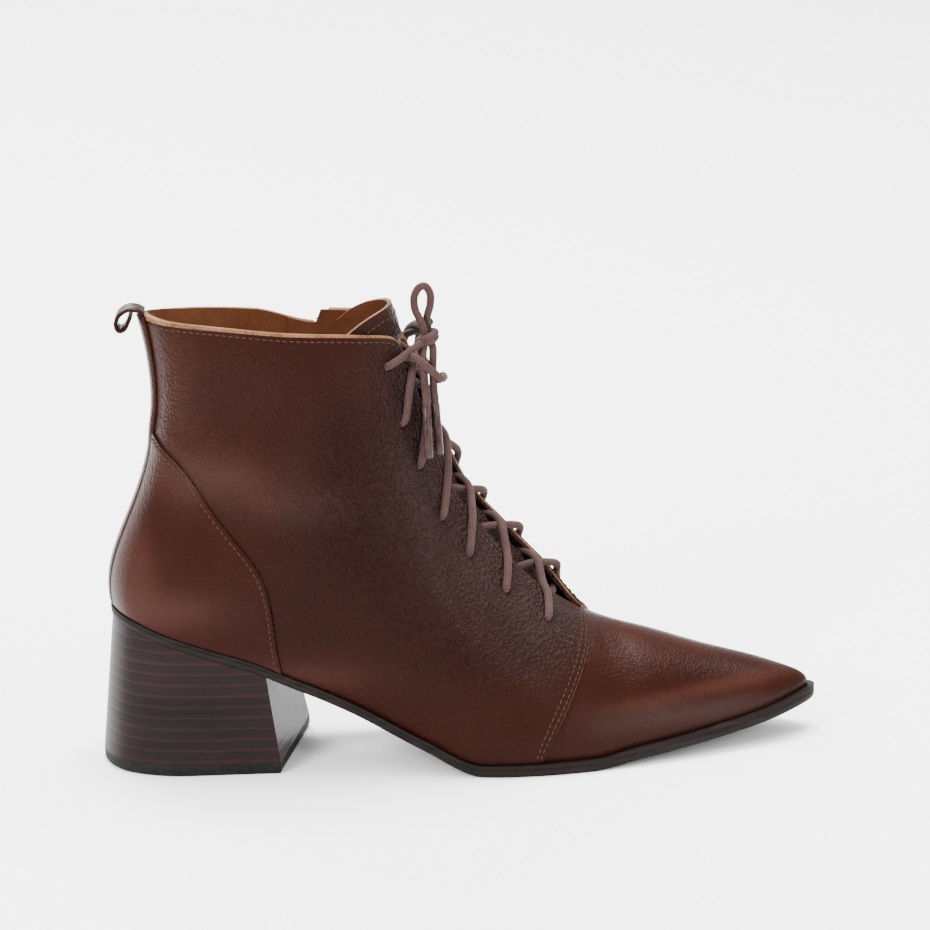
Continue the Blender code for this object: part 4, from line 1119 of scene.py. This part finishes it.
def tongue_rows():
    """Outer face of the tongue, top row first."""
    rows = []
    for s in spaced(THROAT_TOP, VAMP_SEAM - 0.33, TONGUE_STEP):
        own, low = tongue_side_at(s)
        u = np.linspace(0.0, 1.0, TONGUE_SIDE_POINTS)
        way = own + (s - own) * u
        rise = low + (1.0 - low) * u
        outer = skin(way, rise, -TONGUE_DEPTH, dressed=False)
        inner = skin(-way, rise, -TONGUE_DEPTH, dressed=False)
        a, b = outer[-1], inner[-1]
        pull = np.linalg.norm(b - a) * TONGUE_CROWN
        ta = unit(a - outer[-3]) * pull
        tb = unit(inner[-3] - b) * pull
        t = u[1:-1, None]
        bridge = (2 * t**3 - 3 * t**2 + 1) * a + (t**3 - 2 * t**2 + t) * ta
        bridge = bridge + (3 * t**2 - 2 * t**3) * b + (t**3 - t**2) * tb
        rows.append(evened(np.vstack([outer, bridge, inner[::-1]]), TONGUE_COLUMNS))
    rows = np.array(rows)
    top = evened(catmull(np.array(TONGUE_TOP) * MM, 5), TONGUE_COLUMNS)
    bulge = np.zeros((TONGUE_COLUMNS, 3))
    bulge[:, 0] = TONGUE_BULGE * (1 - np.linspace(-1.0, 1.0, TONGUE_COLUMNS)**2)
    shares = np.linspace(0.0, 1.0, TONGUE_TOP_ROWS + 1)[:-1]
    raised = [top + (rows[0] - top) * share + bulge * math.sin(math.pi * share) for share in shares]
    return np.concatenate([np.array(raised), rows])


def thickened(grid, thickness):
    """A grid of points moved inward by a sheet's own thickness."""
    n = unit(np.cross(np.gradient(grid, axis=0), np.gradient(grid, axis=1)))
    return grid - n * thickness, n


def build_tongue():
    """Tongue of thin leather, tan inside, with a pale edge and a wide top."""
    outer = tongue_rows()
    inner, normals = thickened(outer, TONGUE_THICKNESS)
    obj = sheet("tongue_leather", [TONGUE_LEATHER, RAW, LINING], outer, inner, (0, 1, 2))
    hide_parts("tongue")
    return outer, normals


# Sole and heel

# Sole's edge from top to bottom: inset, share of the thickness
EDGE_PROFILE = (
    (0.00020, 1.0), (0.00002, 0.93), (0.0, 0.72), (0.00024, 0.66), (0.00006, 0.60), (0.00010, 0.30),
    (0.00030, 0.10), (0.00060, 0.03), (0.00130, 0.0),
)
RIBS_FROM = 0.150
RIBS_TO = 0.234
RIB_PITCH = 0.0032
RIB_DEPTH = 0.0006
SOLE_STEP = 0.08


def build_sole():
    """Plate with a rounded, lightly grooved edge and fine ribs under the toe."""
    rungs = []
    for s in TIP - spaced(0.0, TIP, SOLE_STEP):
        rung = []
        for side in (1.0, -1.0):
            line = []
            for inset, share in EDGE_PROFILE:
                p = plan(side * s, SOLE_EDGE - inset)
                top = float(sole_top(p[0]))
                low = float(sole_under(p[0]))
                line.append(np.array((p[0], p[1], low + (top - low) * share)))
            rung.append(line)
        outer, inner = rung
        a, b = outer[-1], inner[-1]
        cross = [a + (b - a) * t for t in np.linspace(0.0, 1.0, 7)[1:-1]]
        for p in cross:
            if RIBS_FROM < p[0] < RIBS_TO:
                p[2] += RIB_DEPTH * (0.5 + 0.5 * math.sin(2 * math.pi * p[0] / RIB_PITCH))
        rungs.append(outer + cross + inner[::-1])
    build = Build()
    build.bands(rungs)
    obj = build.object("sole_plate", [SOLE], SOLE_SHARP_ANGLE)
    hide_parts("outsole")


def breast_section(x, side):
    """Section whose feather point lies at x on one side."""
    low, high = 0.0, TIP
    for _ in range(40):
        mid = (low + high) / 2
        if last(side * mid, 0.0)[0] < x:
            low = mid
        else:
            high = mid
    return low


# Gap at the heel's joints, and how far its top stands in from the sole's edge
JOINT = 0.00003
HEEL_INSET = 0.0006
HEEL_POINTS = 30
HEEL_ROWS = 40


def heel_rings(levels):
    """Rings of the heel at shares of its height from its seat down, and the plan of its base."""
    halves = []
    for side in (1.0, -1.0):
        breast = LAST_BACK + HEEL_LENGTH + (0.0 if side > 0 else BREAST_SKEW)
        reach = breast_section(breast, side)
        sections = reach * np.sin(np.pi / 2 * np.arange(HEEL_POINTS + 1) / HEEL_POINTS)
        halves.append(plan(side * sections, SOLE_EDGE - HEEL_INSET))
    ring = np.vstack([halves[0][::-1], halves[1][1:]])
    top_width = abs(halves[0][-1][1]) + abs(halves[1][-1][1])
    back = ring[:, 0].min()
    front = LAST_BACK + HEEL_LENGTH
    stretch = (front + HEEL_FLARE_FRONT - back + HEEL_FLARE_BACK) / (front - back)
    base = np.stack([back - HEEL_FLARE_BACK + (ring[:, 0] - back) * stretch,
                     ring[:, 1] * HEEL_BASE_WIDTH / top_width], -1)
    seat = sole_under(ring[:, 0]) - JOINT
    floor = TOP_PIECE + JOINT
    rings = []
    for level in levels:
        plan_points = ring * (1 - level) + base * level
        rings.append(np.column_stack([plan_points, seat + (floor - seat) * level]))
    return rings, base


# The wearing piece's loops: inset, height
TOP_PIECE_STEPS = ((0.0, TOP_PIECE), (0.0, 0.0012), (0.0005, 0.0004), (0.0011, 0.0))
# How much the heel's layers spread towards the breast
LAYER_SPREAD = 0.10


def build_heel():
    """Stacked heel with a stained, layered side, and the wearing piece under it."""
    rings, base = heel_rings(np.linspace(0.0, 1.0, HEEL_ROWS))
    build = Build()
    build.bands(rings)
    build.lid(rings[0])
    build.lid(rings[-1])
    obj = build.object("heel_stack", [HEEL], SOLE_SHARP_ANGLE)
    co = corners_of(obj.data)
    level = co[:, 2] / HEEL_HEIGHT
    level = level + LAYER_SPREAD * (co[:, 0] - LAST_BACK) / LAST_LENGTH * co[:, 2] / HEEL_HEIGHT
    layer = obj.data.attributes.new("layers", "FLOAT_VECTOR", "POINT")
    layer.data.foreach_set("vector", np.column_stack([level, level * 0, level * 0]).ravel())
    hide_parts("heel_block")

    outward = unit(base - base.mean(0))
    loops = [np.column_stack([base - outward * inset, np.full(len(base), z)]) for inset, z in TOP_PIECE_STEPS]
    build = Build()
    build.bands(loops)
    build.lid(loops[0])
    build.lid(loops[-1])
    piece = build.object("top_piece", [RUBBER], SOLE_SHARP_ANGLE)
    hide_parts("heel_top_piece")


# Laces

CORD_SIDES = 14


def rod_faces(rings, sides, start=0):
    """Faces of a rod whose corners are rings of a number of sides, with both ends closed."""
    faces = []
    for i in range(rings - 1):
        low = start + i * sides
        high = low + sides
        for k in range(sides):
            m = (k + 1) % sides
            faces.append((low + k, low + m, high + m, high + k))
    faces.append(tuple(range(start, start + sides))[::-1])
    faces.append(tuple(range(start + (rings - 1) * sides, start + rings * sides)))
    return faces


def tube(name, path, diameter, finish):
    """Round cord along a path, with the place along and around it kept for the weave."""
    path = np.array(path, float)
    d = unit(np.gradient(path, axis=0))
    side = np.cross(d[0], (0.0, 0.0, 1.0))
    if np.linalg.norm(side) < 0.1:
        side = np.cross(d[0], (1.0, 0.0, 0.0))
    lengths = run_along(path)
    verts = []
    weave = []
    for i, p in enumerate(path):
        side = unit(side - d[i] * np.dot(side, d[i]))
        other = np.cross(d[i], side)
        for k in range(CORD_SIDES):
            a = 2 * math.pi * k / CORD_SIDES
            verts.append(p + (side * math.cos(a) + other * math.sin(a)) * diameter / 2)
            weave.append((lengths[i], a, 0.0))
    faces = rod_faces(len(path), CORD_SIDES)
    mesh = bpy.data.meshes.new(name)
    mesh.from_pydata([tuple(v) for v in verts], [], faces)
    mesh.materials.append(finish)
    layer = mesh.attributes.new("weave", "FLOAT_VECTOR", "POINT")
    layer.data.foreach_set("vector", np.array(weave).ravel())
    mesh.shade_smooth()
    mesh.set_sharp_from_angle(angle=math.radians(60.0))
    return new_object(name, mesh)


# Where the highest strand from the far side swings round in front of the hanging ends, in mm
FIRST_CROSSING = (
    (98.4, 8.0, 144.8), (100.8, 1.6, 147.4), (101.4, -6.0, 148.6), (99.8, -13.4, 150.4), (95.2, -16.2, 155.4),
    (90.2, -16.6, 159.8),
)


# How deep a strand lies where it runs under a facing
CORD_UNDER = -WALL - CORD_DIAMETER / 2 + 0.0004
# Strands that start on the outer and on the inner side: clearance over the facings, lift where they cross
STRAND_OUTER = (0.0001, 0.0006)
STRAND_INNER = (0.0011, -0.0024)


def strand(k, side):
    """Route of a strand: out of an eyelet, over its facing, across, and under the other to the next."""
    low, low_height = EYELETS[k]
    high, high_height = EYELETS[k - 1]
    step = max(high, THROAT_TOP + 0.1) - low
    clearance, lift = STRAND_OUTER if side > 0 else STRAND_INNER
    over = CORD_DIAMETER / 2 + clearance
    centre = low + 0.52 * step
    middle = (skin(centre, 1.0, over) + skin(-centre, 1.0, over)) / 2
    outward = unit(last_normal(centre, 1.0) + last_normal(-centre, 1.0))
    points = [
        skin(side * low, low_height, CORD_UNDER),
        skin(side * low, low_height, -0.0004),
        skin(side * (low + 0.02 * step), low_height + 0.02, over * 0.9),
        skin(side * (low + 0.06 * step), (low_height + 1.0) / 2 + 0.02, over),
        skin(side * (low + 0.16 * step), 1.0, over - 0.0004),
        middle + outward * lift,
        skin(-side * (low + 0.74 * step), 1.0, CORD_UNDER),
        skin(-side * (high + 0.02), (1.0 + high_height) / 2, CORD_UNDER),
        skin(-side * high, high_height, CORD_UNDER),
    ]
    if k == 1 and side < 0:
        points[5:6] = [np.array(p) * MM for p in FIRST_CROSSING]
    return catmull(points, 6)


# Height of the hidden bar between the lowest eyelets
BAR_HEIGHT = 0.93

# Free runs of the lace: points along, across, up, in mm
KNOT_ROUTE = (
    (79.9, -16.4, 156.2), (80.7, -19.0, 157.2), (82.6, -19.6, 158.4), (86.4, -17.0, 160.2),
    (90.4, -12.4, 162.2), (94.0, -8.0, 163.4), (96.4, -4.0, 164.6), (96.0, 0.6, 165.2), (94.0, 6.4, 164.4),
    (90.8, 12.4, 162.8), (87.0, 17.2, 160.4), (82.8, 19.8, 158.6), (81.4, 16.6, 156.6),
)
LOOP_UP = (
    (94.8, -6.0, 166.2), (93.4, -6.2, 171.0), (91.4, -5.4, 175.6), (91.2, -4.8, 180.2), (93.0, -4.4, 183.6),
    (95.6, -4.0, 184.2), (97.4, -3.6, 181.0), (97.2, -3.2, 176.6), (95.8, -2.6, 171.6), (96.0, -2.4, 167.2),
)
LOOP_SIDE = (
    (93.8, 0.4, 167.8), (92.0, 7.6, 166.8), (90.4, 14.8, 164.8), (87.8, 22.6, 160.4), (85.2, 27.6, 151.4),
    (84.6, 30.4, 142.6), (87.6, 31.2, 138.2), (90.8, 29.0, 142.0), (91.2, 25.2, 150.6), (92.4, 20.4, 159.4),
    (94.0, 13.8, 165.0), (95.8, 6.4, 167.4), (96.8, 3.6, 168.4),
)
END_FRONT = (
    (96.4, -5.2, 164.2), (97.6, -7.2, 160.4), (97.3, -10.0, 154.2), (97.3, -13.0, 147.6),
    (97.6, -15.4, 141.8),
)
END_BACK = (
    (94.8, -6.4, 163.6), (93.8, -10.0, 159.6), (93.9, -13.4, 153.6), (94.1, -16.2, 147.4),
    (94.3, -18.4, 141.4),
)
AGLET_FRONT = ((97.62, -15.6, 141.1), (98.6, -18.5, 121.3))
AGLET_BACK = ((94.31, -18.6, 140.8), (94.5, -22.9, 121.2))


def free_cord(name, points, tip=None, tip_run=None):
    """One free stretch of the lace; an end's cord runs on inside its tip."""
    route = [np.array(p) * MM for p in points]
    if tip_run is not None:
        route.append(np.array(tip_run[1]) * MM)
    path = catmull(route, 6)
    obj = tube(name + "_cord", path, CORD_DIAMETER, LACE)
    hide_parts(name)


# A tip's share of its length and of its width
AGLET_SHAPE = ((0.0, 0.84), (0.02, 1.0), (0.3, 1.0), (0.6, 1.0), (0.9, 1.0), (0.985, 0.93), (1.0, 0.66))


def aglet(name, ends):
    """Tip on a lace's end, narrowed at its point."""
    a, b = (np.array(p) * MM for p in ends)
    path = np.array([a + (b - a) * along for along, wide in AGLET_SHAPE])
    obj = tube(name + "_tip", path, AGLET_DIAMETER, TIP_CLEAR)
    co = corners_of(obj.data).reshape(-1, CORD_SIDES, 3)
    for i, (along, wide) in enumerate(AGLET_SHAPE):
        co[i] = path[i] + (co[i] - path[i]) * wide
    obj.data.vertices.foreach_set("co", co.ravel())
    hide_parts(name)
    return obj


# The turns of the knot: centre, reach and rise in mm, tilt and middle in degrees
WRAP_CENTRE = (95.4, -5.8, 163.9)
WRAP_REACH = 3.5
WRAP_DEPTH = 0.85
WRAP_RISE = 3.0
WRAP_TURNS = 1.85
WRAP_TILT = 20.0
WRAP_MIDDLE = 70.0
WRAP_STEPS = 48


def build_wrap():
    """Turns of the lace that hold the bow's loops and ends together."""
    tilt = math.radians(WRAP_TILT)
    points = []
    for k in range(WRAP_STEPS + 1):
        part = k / WRAP_STEPS - 0.5
        a = math.radians(WRAP_MIDDLE) + 2 * math.pi * WRAP_TURNS * part
        reach = WRAP_REACH * math.cos(a)
        points.append((reach * math.cos(tilt), WRAP_DEPTH * WRAP_REACH * math.sin(a),
                       WRAP_RISE * part + reach * math.sin(tilt)))
    obj = tube("lace_wrap", (np.array(points) + WRAP_CENTRE) * MM, CORD_DIAMETER, LACE)
    return obj


def build_laces():
    """Laced strands through the eyelets, the knot, two loops and two ends with tips."""
    paths = []
    for k in range(len(EYELETS) - 1, 0, -1):
        for side in (1.0, -1.0):
            paths.append(tube("strand", strand(k, side), CORD_DIAMETER, LACE))
    low, low_height = EYELETS[-1]
    places = ((low, low_height), (low + 0.1, BAR_HEIGHT), (-low - 0.1, BAR_HEIGHT), (-low, low_height))
    bar = catmull([skin(s, h, CORD_UNDER) for s, h in places], 8)
    paths.append(tube("strand", bar, CORD_DIAMETER, LACE))
    obj = joined("lace_run", paths)
    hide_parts("lace_crossings")
    front = aglet("aglet_front", AGLET_FRONT)
    back = aglet("aglet_back", AGLET_BACK)
    free_cord("lace_knot", KNOT_ROUTE, build_wrap())
    free_cord("lace_loop_up", LOOP_UP)
    free_cord("lace_loop_side", LOOP_SIDE)
    free_cord("lace_end_front", END_FRONT, front, AGLET_FRONT)
    free_cord("lace_end_back", END_BACK, back, AGLET_BACK)


def joined(name, objects):
    """Several objects of one finish as one mesh."""
    bm = bmesh.new()
    finish = objects[0].data.materials[0]
    for obj in objects:
        bm.from_mesh(obj.data)
    mesh = bpy.data.meshes.new(name)
    bm.to_mesh(mesh)
    bm.free()
    mesh.materials.append(finish)
    for obj in objects:
        bpy.data.objects.remove(obj, do_unlink=True)
    return new_object(name, mesh)


# Stitches

STITCH_LENGTH = 0.0019
STITCH_PITCH = 0.0026
STITCH_WIDTH = 0.00050
# A stitch's rings: share of its length, width, lift
STITCH_SHAPE = (
    (0.0, 0.35, -0.6), (0.22, 0.95, 0.25), (0.5, 1.0, 0.45), (0.78, 0.95, 0.25), (1.0, 0.35, -0.6),
)
STITCH_SIDES = 6
# How far rows lie from the edge or seam they follow, in metres
COLLAR_STITCH = 0.0027
FACING_STITCHES = (0.0024, 0.0048)
VAMP_STITCHES = (0.0016, 0.0034)
COUNTER_STITCH = 0.0017
ZIP_STITCH = 0.0024
# Bar tacks at the facings' foot: heights, and how far from the vamp seam they begin and end
TACK_HEIGHTS = (0.665, 0.70)
TACK_NEAR = 0.0046
TACK_FAR = 0.0105
TACK_PITCH = 0.0016
TACK_LENGTH = 0.0014


class Stitches:
    """Short rounded bars that dip at both ends, gathered as one mesh: stitches, or the teeth of the zip."""

    def __init__(self):
        self.verts = []
        self.faces = []

    def bar(self, a, b, n, width=STITCH_WIDTH):
        d = unit(b - a)
        n = unit(n - d * np.dot(n, d))
        side = np.cross(n, d)
        self.faces += rod_faces(len(STITCH_SHAPE), STITCH_SIDES, len(self.verts))
        for t, wide, lift in STITCH_SHAPE:
            centre = a + (b - a) * t + n * width / 2 * lift
            for k in range(STITCH_SIDES):
                angle = 2 * math.pi * k / STITCH_SIDES
                self.verts.append(centre + (side * math.cos(angle) + n * math.sin(angle)) * width / 2 * wide)

    def row(self, path, normals, pitch=STITCH_PITCH, length=STITCH_LENGTH):
        """Stitches along a path at an even pitch."""
        run = run_along(path)
        count = int(run[-1] / pitch)
        for i in range(count):
            start = (i + 0.5) * pitch - length / 2
            a = value_at(start, run, path)
            b = value_at(start + length, run, path)
            self.bar(a, b, value_at(start, run, normals))

    def on_skin(self, sections, heights, out=0.0, **settings):
        """A row along places on the leather."""
        s = np.asarray(sections, float)
        h = np.asarray(heights, float)
        self.row(skin(s, h, out), last_normal(s, h), **settings)

    def object(self, name, finish):
        mesh = bpy.data.meshes.new(name)
        mesh.from_pydata([tuple(v) for v in self.verts], [], self.faces)
        mesh.materials.append(finish)
        mesh.shade_smooth()
        return new_object(name, mesh)


def height_at_distance(sections, distance):
    """Heights a distance below the top edge, for each section."""
    out = []
    for s in np.atleast_1d(sections):
        h = np.linspace(1.0, 0.5, 60)
        out.append(float(np.interp(distance, run_along(last(s, h)), h)))
    return np.array(out)


def build_stitches(tongue_points, tongue_normals):
    """Rows along the collar, facings, vamp seam, counters, zip and tongue, bar tacks at the facings' foot."""
    made = Stitches()
    rear, front = slot_edges()
    start = float(strip_half(0.98)[0]) + 0.05
    end = THROAT_TOP - 0.15
    for a, b, side in ((start, end, 1.0), (start, rear - 0.06, -1.0), (front + 0.06, end, -1.0)):
        s = spaced(a, b, 0.05)
        made.on_skin(side * s, height_at_distance(side * s, COLLAR_STITCH))
    for side in (1.0, -1.0):
        for inset in FACING_STITCHES:
            s = spaced(THROAT_TOP - 0.1, VAMP_SEAM - 0.12, 0.04)
            made.on_skin(side * s, height_at_distance(side * s, inset))
        for back in VAMP_STITCHES:
            h = spaced(0.02, 0.90, 0.01)
            shift = np.array([sections_for(VAMP_SEAM - 0.1, t, back) for t in h])
            made.on_skin(side * (VAMP_SEAM - shift), h)
        s, h = counter_seam()
        edge = last(side * s, h)
        d = np.gradient(edge, axis=0)
        keep = run_along(edge) > STRIP_WIDTH / 2 + 0.002
        made.row(*offset_on_skin(side, s[keep], h[keep], d[keep], COUNTER_STITCH))
    for s0 in (rear, front):
        shift = sections_for(-ZIP_SECTION, 0.6, ZIP_STITCH) * (1 if s0 > ZIP_SECTION else -1)
        h = spaced(ZIP_BOTTOM - 0.01, 0.975, 0.01)
        made.on_skin(np.full(len(h), -(s0 + shift)), h)
    for side in (1.0, -1.0):
        for level in TACK_HEIGHTS:
            near = sections_for(VAMP_SEAM - 0.1, level, TACK_NEAR)
            far = sections_for(VAMP_SEAM - 0.1, level, TACK_FAR)
            s = spaced(VAMP_SEAM - far, VAMP_SEAM - near, 0.01)
            made.on_skin(side * s, np.full(len(s), level), pitch=TACK_PITCH, length=TACK_LENGTH)
    made.row(tongue_points[2, 1:-1], tongue_normals[2, 1:-1])
    obj = made.object("stitches", THREAD)


def offset_on_skin(side, s, h, d, inset):
    """A seam's line moved back over its own panel, with normals."""
    n = last_normal(side * s, h)
    inward = np.cross(n, unit(d))
    centre = last(side * 0.8, 0.25)
    p = skin(side * s, h, GAP + COUNTER_THICKNESS)
    flip = np.sign(np.einsum("ij,ij->i", inward, centre[None, :] - p))
    return p + inward * (flip * inset)[:, None], n


# Zip

TAPE_THICKNESS = 0.0008
TAPE_OUT = -WALL - 0.0001
TEETH_WIDTH = 0.0040
TEETH_THICKNESS = 0.0011
TOOTH_PITCH = 0.0014
# Height of the tape's foot, and sections that it reaches past the slot's edges
TAPE_FOOT = 0.13
TAPE_REACH = 0.33
METAL_ROUNDING = 0.00022


def build_zip():
    """Tape behind the slot and a row of teeth. Slider and pull keep their solids, with a metal finish."""
    rear, front = slot_edges()
    sections = -spaced(front + TAPE_REACH, rear - TAPE_REACH, 0.06)
    heights = spaced(TAPE_FOOT, 1.0, 0.015)
    s, h = np.meshgrid(sections, heights, indexing="ij")
    outer = skin(s, h, TAPE_OUT, dressed=False)
    inner = skin(s, h, TAPE_OUT - TAPE_THICKNESS, dressed=False)
    tape = sheet("zip_tape_cloth", [TAPE, LINING], outer, inner, (0, 1, 1))
    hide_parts("zip_tape")

    h = np.linspace(ZIP_BOTTOM + 0.012, 0.995, 400)
    middle = skin(np.full(len(h), -ZIP_SECTION), h, -WALL + 0.0007, dressed=False)
    run = run_along(middle)
    teeth = Stitches()
    for i in range(int(run[-1] / TOOTH_PITCH)):
        t = float(np.interp((i + 0.5) * TOOTH_PITCH, run, h))
        n = last_normal(-ZIP_SECTION, t)
        centre = skin(-ZIP_SECTION, t, -WALL + 0.0006, dressed=False)
        up = last(-ZIP_SECTION, t + 0.01) - last(-ZIP_SECTION, t - 0.01)
        across = unit(np.cross(up, n))
        reach = TEETH_WIDTH / 2
        near, far = (-reach, 0.35 * reach) if i % 2 else (-0.35 * reach, reach)
        teeth.bar(centre + across * near, centre + across * far, n, TEETH_THICKNESS)
    obj = teeth.object("zip_teeth_row", METAL)
    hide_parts("zip_teeth")
    for name in ("zip_slider", "zip_pull"):
        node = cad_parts[name]
        node.data.materials.clear()
        node.data.materials.append(METAL)
        rounding = node.modifiers.new("rounding", "BEVEL")
        rounding.width = METAL_ROUNDING
        rounding.segments = 2
        rounding.limit_method = "ANGLE"
        rounding.angle_limit = math.radians(40.0)


# Sock lining across: share of the width, rise
INSOLE_PROFILE = (
    (0.0, 0.0), (0.0, 0.0014), (0.03, 0.0020), (0.2, 0.0021), (0.5, 0.0019), (0.8, 0.0021), (0.97, 0.0020),
    (1.0, 0.0014), (1.0, 0.0),
)


def build_insole():
    """Sock lining over the board, a little smaller than the inside and soft at its edge."""
    sections = spaced(0.25, TIP - 0.5, 0.12)
    inset = -(WALL + 2 * GAP)
    rungs = []
    for s in sections:
        a = plan(s, inset)
        b = plan(-s, inset)
        rung = []
        for t, lift in INSOLE_PROFILE:
            p = a + (b - a) * t
            rung.append(np.array((p[0], p[1], float(sole_top(p[0])) + GAP + lift)))
        rungs.append(rung)
    build = Build()
    build.bands(rungs)
    build.face(rungs[0][::-1])
    build.face(rungs[-1])
    obj = build.object("sock_lining", [LINING])
    paint(obj)
    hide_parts("insole")


# Stage

FLOOR_SIZE = 6.0
WORLD_STRENGTH = 1.6
# Name, place, size and power of each light
LIGHTS = (
    ("key", (-1.0, -1.4, 1.1), (0.60, 0.9), 58.0),
    ("fill", (1.3, -1.3, 0.8), (0.25, 0.8), 20.0),
    ("top", (0.2, 0.4, 2.0), (1.6, 1.0), 150.0),
    ("back", (-0.6, 1.8, 1.2), (1.2, 0.8), 60.0),
)


def build_stage():
    """White floor and soft light from above, behind, the left and the right."""
    bpy.ops.mesh.primitive_plane_add(size=FLOOR_SIZE)
    floor = bpy.context.object
    floor.name = "floor"
    m = Nodes("floor_white")
    m.finish((0.93, 0.93, 0.93), 0.9)
    floor.data.materials.append(m.material)
    world = bpy.data.worlds.new("studio")
    bpy.context.scene.world = world
    world.use_nodes = True
    background = world.node_tree.nodes["Background"]
    background.inputs["Color"].default_value = (1.0, 1.0, 1.0, 1.0)
    background.inputs["Strength"].default_value = WORLD_STRENGTH
    for name, place, size, power in LIGHTS:
        data = bpy.data.lights.new(name, "AREA")
        data.shape = "RECTANGLE"
        data.size, data.size_y = size
        data.energy = power
        light = bpy.data.objects.new(name, data)
        light.location = place
        aim = Vector(CAMERA_TARGET) - Vector(place)
        light.rotation_mode = "QUATERNION"
        light.rotation_quaternion = aim.to_track_quat("-Z", "Y")
        bpy.context.scene.collection.objects.link(light)


build_laces()
build_upper()
build_counters()
build_backstay()
build_pull_loop()
TONGUE_POINTS, TONGUE_NORMALS = build_tongue()
build_sole()
build_heel()
build_insole()
build_zip()
build_stitches(TONGUE_POINTS, TONGUE_NORMALS)
build_stage()
